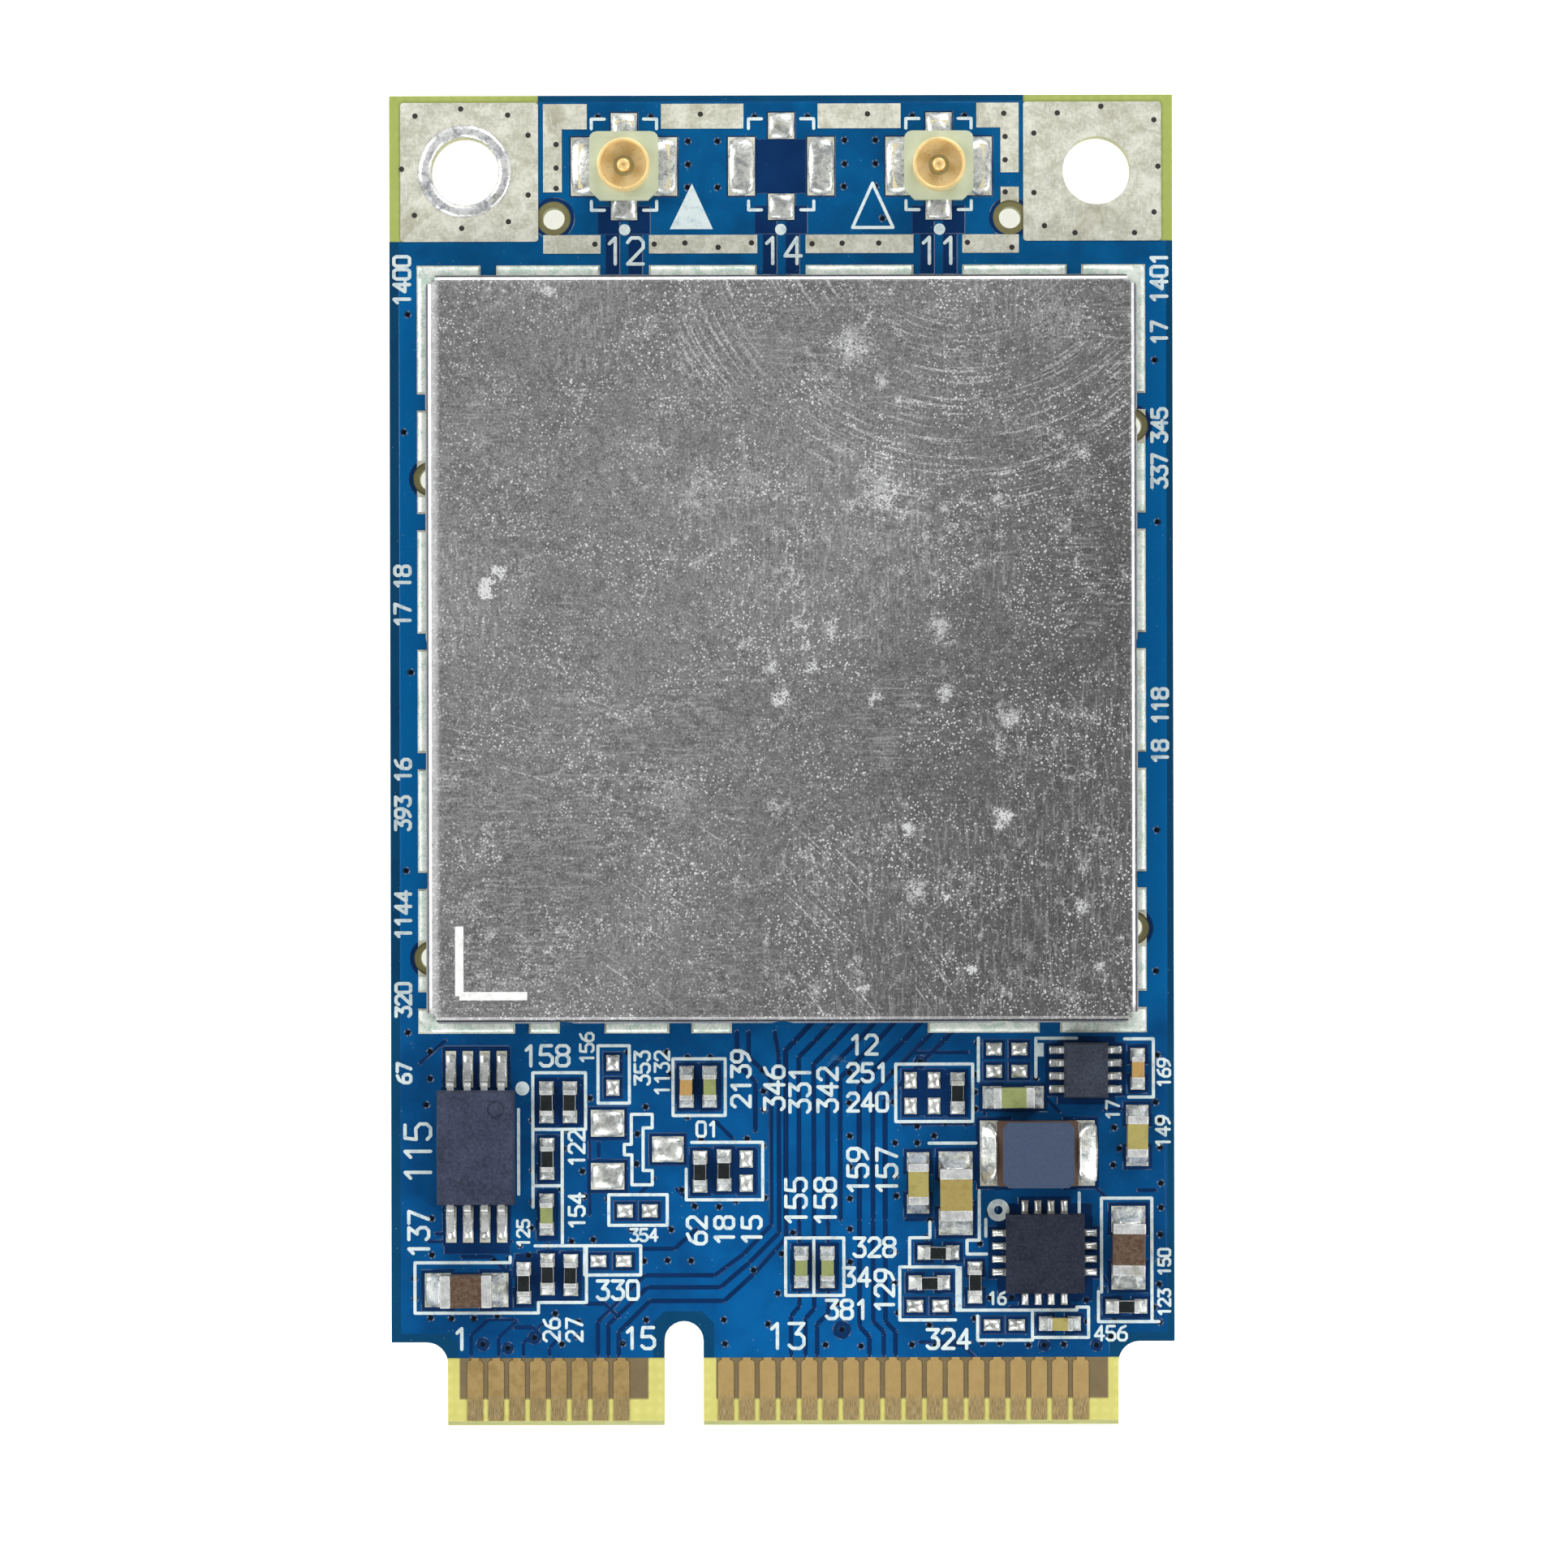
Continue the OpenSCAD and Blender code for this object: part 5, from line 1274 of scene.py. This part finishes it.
for s in SIDES:
    for i in STEPS:
        joints.append((MEMORY_X + i * MEMORY_PITCH, MEMORY_Y + s * 3.1, 0.95, 0.4,
                       s * math.pi / 2, 0.15, 0.35))
        joints.append((SWITCH_X + s * 1.22, SWITCH_Y + i * SWITCH_PITCH, 0.36, 0.29,
                       outward[s], 0.11, 0.35))
        joints.append((REGULATOR_X + s * 1.78, REGULATOR_Y + i * REGULATOR_PITCH, 0.46, 0.26,
                       outward[s], 0.2, 0.8))
        joints.append((REGULATOR_X + i * REGULATOR_PITCH, REGULATOR_Y + s * 1.78, 0.46, 0.26,
                       s * math.pi / 2, 0.2, 0.8))
joints += [(INDUCTOR_X - 1.87, INDUCTOR_Y, 0.62, 2.4, math.pi, 0.5, 1.0),
           (INDUCTOR_X + 1.95, INDUCTOR_Y, 0.75, 2.45, 0.0, 0.5, 1.0)]
xs, ys, lengths, widths, turns, heights, leans = zip(*joints)
pads = point_cloud("solder_places", [(x, y, pad_top - 0.002) for x, y in zip(xs, ys)],
                   {"length": [v * MM for v in lengths], "width": [v * MM for v in widths],
                    "turn": turns, "height": [v * MM for v in heights], "lean": leans})
solder_recipe(solder).run("solder_joints", pads, "solder")

# %% [markdown]
# ### Holes in the lands, and the beads
#
# The bare lands have tiny plated holes, which read as dark dots: each is a near-black disc thinner
# than a hair, painted shade where the hole goes down. The can is soldered down by a bead that
# follows its foot, land by land, and a hand-soldered ring lies round one screw hole. A path, a
# squashed ring as its section and some ripple make all the beads.

# %% Painted shade in the plated holes of the bare lands
def hole_shade_finish():
    f = Finish("plated_hole", IOR=1.5)
    grit = f.noise(9.0)
    # painted shade: the dark inside each hole, as a near-black colour
    colour = f.mix(f.noise(6.0), (0.006, 0.006, 0.006), (0.030, 0.027, 0.020))
    return f.dress(colour, 0.5 + grit * 0.2, 0.0, grit, 0.01)


flat_piece("land_holes", [disc(x, y, 0.105, 14) for x, y in VIAS_LAND],
           pad_top - 0.01, pad_top + 0.003, hole_shade_finish())

# %% Recipe: a bead of solder along the can's foot
def bead_recipe(material, wide, tall, ripple):
    r = Recipe("solder_bead", Spacing=0.16 * MM, Wide=wide * MM, Tall=tall * MM,
               Ripple=ripple * MM, Grain=1300.0, Solder=material)
    path = r.node("GeometryNodeMeshToCurve", None, {"Mesh": r.given("Geometry")})
    path = r.node("GeometryNodeResampleCurve", {"mode": "LENGTH"},
                  {"Curve": path, "Length": r.given("Spacing")})
    along = r.node("GeometryNodeSplineParameter", None, None, "Factor")
    # full for most of its length, and rounded off at both ends
    size = (1 - abs((along - 0.5) * 2) ** 14.0).most(0.0) ** 0.5
    path = r.node("GeometryNodeSetCurveNormal", {"mode": "Z_UP"}, {"Curve": path})
    path = r.node("GeometryNodeSetCurveRadius", None, {"Curve": path, "Radius": size * 0.95 + 0.05})
    ring = r.node("GeometryNodeCurvePrimitiveCircle", {"mode": "RADIUS"},
                  {"Resolution": 10, "Radius": 1.0}, "Curve")
    flat = r.vector(r.given("Wide"), r.given("Tall"), 1.0)
    ring = r.node("GeometryNodeTransform", None, {"Geometry": ring, "Scale": flat})
    bead = r.node("GeometryNodeCurveToMesh", None,
                  {"Curve": path, "Profile Curve": ring, "Fill Caps": True})
    noise = r.node("ShaderNodeTexNoise", None, {"Vector": r.node("GeometryNodeInputPosition"),
                   "Scale": r.given("Grain"), "Detail": 2.0}, "Color")
    shake = r.vector(*((part - 0.5) * r.given("Ripple") for part in r.axes(noise)))
    bead = r.node("GeometryNodeSetPosition", None, {"Geometry": bead, "Offset": shake})
    smooth = r.node("GeometryNodeSetShadeSmooth", None, {"Geometry": bead})
    r.finish_with(smooth, r.given("Solder"))
    return r


# %% Beads round the can and round one screw hole
BEAD_INSET, BEAD_GAP = 0.32, 0.08


def bead_lines():
    """A line along the part of each land that shows outside the can, clear of the tooling holes."""
    for x0, y0, x1, y1 in side_lands:
        x = x0 + BEAD_INSET if x0 < 0 else x1 - BEAD_INSET
        holes = [(hy - 0.62, hy + 0.62) for hx, hy in TOOL_HOLES
                 if abs(hx - x) < 0.7 and y0 < hy < y1]
        for a, b in between(y0, y1, holes):
            if b - a > 0.4:
                yield (x, a + BEAD_GAP), (x, b - BEAD_GAP)
    for x0, y0, x1, y1 in end_lands:
        y = y1 - BEAD_INSET if y1 > 0 else y0 + BEAD_INSET
        yield (x0 + BEAD_GAP, y), (x1 - BEAD_GAP, y)


points = [(x, y, pad_top + 0.01) for line in bead_lines() for x, y in line]
path = mesh_of("bead_path", points, [(i, i + 1) for i in range(0, len(points), 2)])
bead_recipe(can_solder, 0.29, 0.08, 0.045).run("can_solder_bead", path, "solder")

points = [(x, y, pad_top) for x, y in arc(*SCREW_HOLE, 1.54, -165, 195, 60)]
path = mesh_of("ring_path", points, [(i, i + 1) for i in range(len(points) - 1)])
bead_recipe(ring_solder, 0.24, 0.085, 0.075).run("screw_land_ring", path, "solder")

# %% [markdown]
# ## Print
#
# White epoxy ink is screened on last: a frame round each part, numbers beside them, and dots,
# corner marks and triangles by the receptacles. It is a hundredth of a millimetre thick, and the
# numbers are drawn with a pen of one width, so each is a list of corners for the same stroke
# function.

# %% A pen alphabet of figures
FIGURES = {
    "0": [(0.1, 0), (0.5, 0), (0.6, 0.15), (0.6, 0.85), (0.5, 1), (0.1, 1), (0, 0.85), (0, 0.15),
          (0.1, 0)],
    "1": [(0.12, 0.78), (0.35, 1), (0.35, 0)],
    "2": [(0, 0.82), (0.14, 1), (0.46, 1), (0.6, 0.84), (0.6, 0.62), (0, 0), (0.6, 0)],
    "3": [(0, 1), (0.6, 1), (0.28, 0.58), (0.46, 0.58), (0.6, 0.42), (0.6, 0.15), (0.45, 0),
          (0.14, 0), (0, 0.13)],
    "4": [(0.46, 0), (0.46, 1), (0, 0.3), (0.62, 0.3)],
    "5": [(0.56, 1), (0.05, 1), (0, 0.56), (0.42, 0.58), (0.6, 0.42), (0.6, 0.15), (0.45, 0),
          (0.14, 0), (0, 0.13)],
    "6": [(0.52, 1), (0.2, 0.85), (0, 0.5), (0, 0.15), (0.13, 0), (0.47, 0), (0.6, 0.15),
          (0.6, 0.42), (0.45, 0.56), (0.1, 0.56), (0, 0.4)],
    "7": [(0, 1), (0.6, 1), (0.2, 0)],
    "8": [(0.15, 0.55), (0, 0.7), (0, 0.87), (0.13, 1), (0.47, 1), (0.6, 0.87), (0.6, 0.7),
          (0.45, 0.55), (0.15, 0.55), (0, 0.4), (0, 0.13), (0.13, 0), (0.47, 0), (0.6, 0.13),
          (0.6, 0.4), (0.45, 0.55)],
    "9": [(0.08, 0), (0.4, 0.15), (0.6, 0.5), (0.6, 0.85), (0.47, 1), (0.13, 1), (0, 0.85),
          (0, 0.58), (0.15, 0.44), (0.5, 0.44), (0.6, 0.6)]}


def number(text, x, y, tall, pen=0.13, climbs=False):
    """Outlines of a number centred on a point. One that climbs reads from bottom to top."""
    planks, step = [], 0.82 * tall
    for place, figure in enumerate(text):
        left = (place - (len(text) - 1) / 2) * step - 0.3 * tall
        points = [(left + px * tall, (py - 0.5) * tall) for px, py in FIGURES[figure]]
        points = [(x - py, y + px) if climbs else (x + px, y + py) for px, py in points]
        planks += stroke(points, pen)
    return planks


# %% Frames, marks and numbers
PEN = 0.12


def boxed(left, top, right, bottom):
    return [(left, top), (right, top), (right, bottom), (left, bottom), (left, top)]


FRAMES = [[(-10.12, -13.35), (-10.12, -16.6)], boxed(-9.57, -11.95, -7.55, -14.12),
    [(-9.57, -14.12), (-9.57, -17.1)], [(-8.45, -14.12), (-8.45, -18.5)],
    [(-9.57, -16.28), (-8.45, -16.28)], boxed(-7.07, -10.92, -5.87, -13.12),
    [(-5.8, -13.55), (-5, -13.55), (-5, -14.07), (-5.35, -14.07), (-5.35, -15.7), (-5, -15.7),
     (-5, -16.25), (-5.78, -16.25), (-5.78, -15.1), (-6.07, -15.1), (-6.07, -14.7), (-5.8, -14.7),
     (-5.8, -13.55)],
    boxed(-6.67, -16.63, -4.43, -17.8), boxed(-4.2, -11.43, -2.2, -13.6),
    [(-3.5, -14.63), (-0.77, -14.63), (-0.77, -16.83), (-3.7, -16.83), (-3.7, -15.65)],
    [(-9.5, -18.58), (-5.45, -18.58), (-5.45, -19.7), (-7.6, -19.7), (-7.6, -18.58)],
    [(-10.45, -19), (-10.45, -19.22), (-14.1, -19.22), (-14.1, -21.15), (-9.37, -21.15),
     (-9.37, -20.75), (-7.53, -20.75), (-7.53, -18.6)],
    boxed(0.1, -18.3, 2.33, -20.5), [(1.18, -18.3), (1.18, -20.5)],
    boxed(4.33, -11.65, 7.28, -13.85), [(5.6, -14.68), (7.4, -14.68)],
    [(7.5, -10.65), (7.5, -12.3)], [(9.7, -12.15), (9.7, -10.67), (11.27, -10.67)],
    [(13.1, -10.7), (14.2, -10.7), (14.2, -12.93), (13.25, -12.93)],
    [(7.52, -16.5), (7.52, -18.4), (7.05, -18.4), (7.05, -18.93), (7.8, -18.93)],
    [(7.77, -17.6), (7.77, -18.25)], [(5.63, -17.7), (5.63, -18.3), (4.85, -18.3), (4.85, -19.35)],
    [(6.6, -19.42), (4.47, -19.42), (4.47, -21.45), (6.6, -21.45)],
    [(6.65, -21.08), (11.25, -21.08), (11.25, -20.97), (11.7, -20.97), (11.7, -22.13),
     (9.6, -22.13)],
    [(9.55, -21.08), (9.55, -22.23), (7.45, -22.23), (7.45, -21.3)],
    [(11.35, -16.6), (11.35, -17.35)],
    [(14.13, -21.5), (14.13, -16.8), (12.2, -16.8), (12.2, -20.4)],
    [(12.08, -20.37), (12.08, -21.53), (14.4, -21.53)],
    [(2.75, 20.4), (4.3, 20.4), (3.52, 22.1), (2.75, 20.4)]]
for x in SITES:
    for side in SIDES:
        far, near = x + side * 1.25, x + side * 0.75
        FRAMES += [[(near, 24.57), (far, 24.57), (far, 24.2)],
                   [(far, 21.42), (far, 21.08), (near, 21.08)]]
# Each number's text, place, height and, where it isn't the usual one, its pen
LEVEL_NUMBERS = [("158", -9.05, -11.3, 0.77), ("12", 3.11, -10.9, 0.72),
                 ("251", 3.25, -11.97, 0.68), ("240", 3.25, -13.1, 0.68), ("328", 3.5, -18.66, 0.7),
                 ("34", 2.81, -19.8, 0.7), ("381", 2.44, -21.04, 0.7), ("330", -6.33, -20.28, 0.7),
                 ("354", -5.33, -18.17, 0.45, 0.1), ("324", 6.32, -22.18, 0.72),
                 ("456", 12.55, -21.97, 0.54, 0.1), ("1", -12.35, -22.14, 0.8),
                 ("15", -5.5, -22.12, 0.8), ("13", 0.12, -22.05, 0.95),
                 ("01", -2.9, -14.12, 0.55, 0.11), ("16", 8.2, -20.62, 0.45, 0.1)]
CLIMBING_NUMBERS = [("67", -14.5, -11.95, 0.52), ("115", -13.98, -15.0, 0.98),
                    ("137", -13.95, -18.1, 0.76), ("156", -7.5, -11.0, 0.5, 0.1),
                    ("154", -7.9, -17.25, 0.58, 0.11), ("122", -7.9, -14.85, 0.58, 0.11),
                    ("125", -9.95, -18.1, 0.45, 0.1), ("353", -5.38, -11.78, 0.56, 0.11),
                    ("1132", -4.62, -11.98, 0.54, 0.1), ("2139", -1.6, -12.2, 0.7),
                    ("346", -0.32, -12.55, 0.74), ("331", 0.66, -12.63, 0.76),
                    ("342", 1.72, -12.63, 0.74), ("159", 2.87, -15.73, 0.76),
                    ("157", 3.98, -15.73, 0.76), ("155", 0.5, -16.9, 0.78),
                    ("158", 1.62, -16.9, 0.78), ("62", -3.3, -18.0, 0.72),
                    ("18", -2.25, -18.0, 0.72), ("15", -1.2, -18.0, 0.72),
                    ("26", -8.87, -21.8, 0.6, 0.11), ("27", -8.0, -21.8, 0.6, 0.11),
                    ("129", 3.88, -20.32, 0.7), ("17", 12.64, -13.42, 0.48, 0.1),
                    ("169", 14.6, -12.0, 0.47, 0.1), ("149", 14.56, -14.25, 0.52, 0.1),
                    ("150", 14.6, -19.25, 0.44, 0.1), ("123", 14.6, -20.8, 0.44, 0.1)]
SITE_NUMBERS = [("12", -5.98, 19.52, 1.0), ("14", 0.05, 19.52, 1.0), ("11", 6.05, 19.52, 1.0)]
MARGIN_NUMBERS = [("1400", -14.52, 18.4, 0.6), ("17", -14.52, 5.6, 0.58),
                  ("18", -14.52, 7.05, 0.58), ("393", -14.52, -2.0, 0.56),
                  ("16", -14.52, -0.35, 0.58), ("1144", -14.52, -5.9, 0.58),
                  ("320", -14.52, -9.15, 0.56), ("1401", 14.48, 18.45, 0.6),
                  ("17", 14.48, 16.35, 0.58), ("345", 14.48, 12.8, 0.56),
                  ("337", 14.48, 11.05, 0.56), ("118", 14.48, 2.05, 0.58), ("18", 14.48, 0.3, 0.58)]
ink = [plank for points in FRAMES for plank in stroke(points, PEN)]
for entries, climbs in ((LEVEL_NUMBERS, False), (CLIMBING_NUMBERS, True),
                        (SITE_NUMBERS, False), (MARGIN_NUMBERS, True)):
    ink += [plank for entry in entries for plank in number(*entry, climbs=climbs)]
# dots, solid marks and the small ring that show how the parts are turned
ink += [disc(x, 20.33, 0.22, 14) for x in (-5.98, 0.0, 6.08)]
ink += [disc(-9.97, -12.55, 0.27, 16), rect(6.6, -21.1, 6.85, -19.4)]
ink += [[(-4.25, 20.35), (-2.6, 20.35), (-3.4, 22.1)], rect(9.7, -11.37, 10.0, -10.85)]
ink += stroke(arc(8.25, -17.25, 0.3, 0, 360, 14), 0.26)
flat_piece("white_print", ink, resist_top - 0.01, resist_top + 0.01, white_print)
lid_mark = stroke([(-12.28, -6.3), (-12.28, -8.95), (-9.7, -8.95)], 0.32)[:2]
flat_piece("lid_mark", lid_mark, lid_top - 0.01, lid_top + 0.004, lid_ink)

# %% [markdown]
# ## Stage, light and camera
#
# The card lies on a plain pale floor that glows a little, like a light table, under a soft dome.
# Large soft lamps stand low around it, so the solder and the gold sparkle while the flat lid,
# which mirrors only the dim middle of the dome, stays grey. The camera looks straight down through
# a long lens.

# %% Floor
FLOOR_HALF, FLOOR_Z = 1200, -0.03
mesh = mesh_of("floor", [(x, y, FLOOR_Z) for x, y in box_at(0, 0, 2 * FLOOR_HALF, 2 * FLOOR_HALF)],
               faces=[(0, 1, 2, 3)])
f = Finish("pale_floor", Emission_Color=(1, 1, 1, 1), Emission_Strength=0.7)
mesh.materials.append(f.dress(f.mix(f.noise(0.02), (0.90, 0.90, 0.90), (0.93, 0.93, 0.93)), 0.9))
floor = placed("floor", mesh)
print("the floor is", 2 * FLOOR_HALF, "mm wide")

# %% Lamps
LAMP_SIZE, LAMP_REACH, LAMP_HEIGHT = 0.26, 0.36, 0.24
LAMPS = [(67, 1.0), (157, 1.0), (247, 0.85), (337, 0.9)]
for i, (angle, power) in enumerate(LAMPS):
    data = bpy.data.lights.new(f"soft_lamp_{i + 1}", "AREA")
    data.shape, data.size, data.energy = "DISK", LAMP_SIZE, power
    lamp = placed(data.name, data)
    a = math.radians(angle)
    lamp.location = LAMP_REACH * math.cos(a), LAMP_REACH * math.sin(a), LAMP_HEIGHT
    lamp.rotation_euler = (-lamp.location).to_track_quat("-Z", "Y").to_euler()
print(len(LAMPS), "lamps")

# %% Dome, bright at the rim and dim overhead
DOME_STRENGTH = 0.52
world = bpy.data.worlds.new("dome")
scene.world = world
world.use_nodes = True
sky = Graph(world.node_tree)
_, _, height = sky.axes(sky.node("ShaderNodeTexCoord", None, None, "Generated"))
stops = [(0.0, (0.95, 0.97, 1.0)), (0.5, (0.80, 0.81, 0.83)),
         (0.8, (0.20, 0.20, 0.21)), (1.0, (0.10, 0.10, 0.105))]
tone = sky.node("ShaderNodeValToRGB", {"stops": stops}, {"Fac": height}, "Color")
background = world.node_tree.nodes["Background"]
plug(sky.tree, background.inputs["Color"], tone)
background.inputs["Strength"].default_value = DOME_STRENGTH
print("the dome has", len(stops), "shades")

# %% Camera
LENS, SENSOR = 150.0, 36.0
SEEN_WIDTH = 60.06
data = bpy.data.cameras.new("camera")
data.lens, data.sensor_width, data.sensor_fit = LENS, SENSOR, "HORIZONTAL"
data.clip_start, data.clip_end = 0.01, 10
camera = placed("camera", data)
camera.location = Vector((0.078, -0.91, SEEN_WIDTH * LENS / SENSOR + resist_top)) * MM
camera.rotation_euler.z = math.radians(-0.127)
scene.camera = camera
scene.view_settings.view_transform = "Standard"
print("the camera is", round(camera.location.z, 3), "m up")
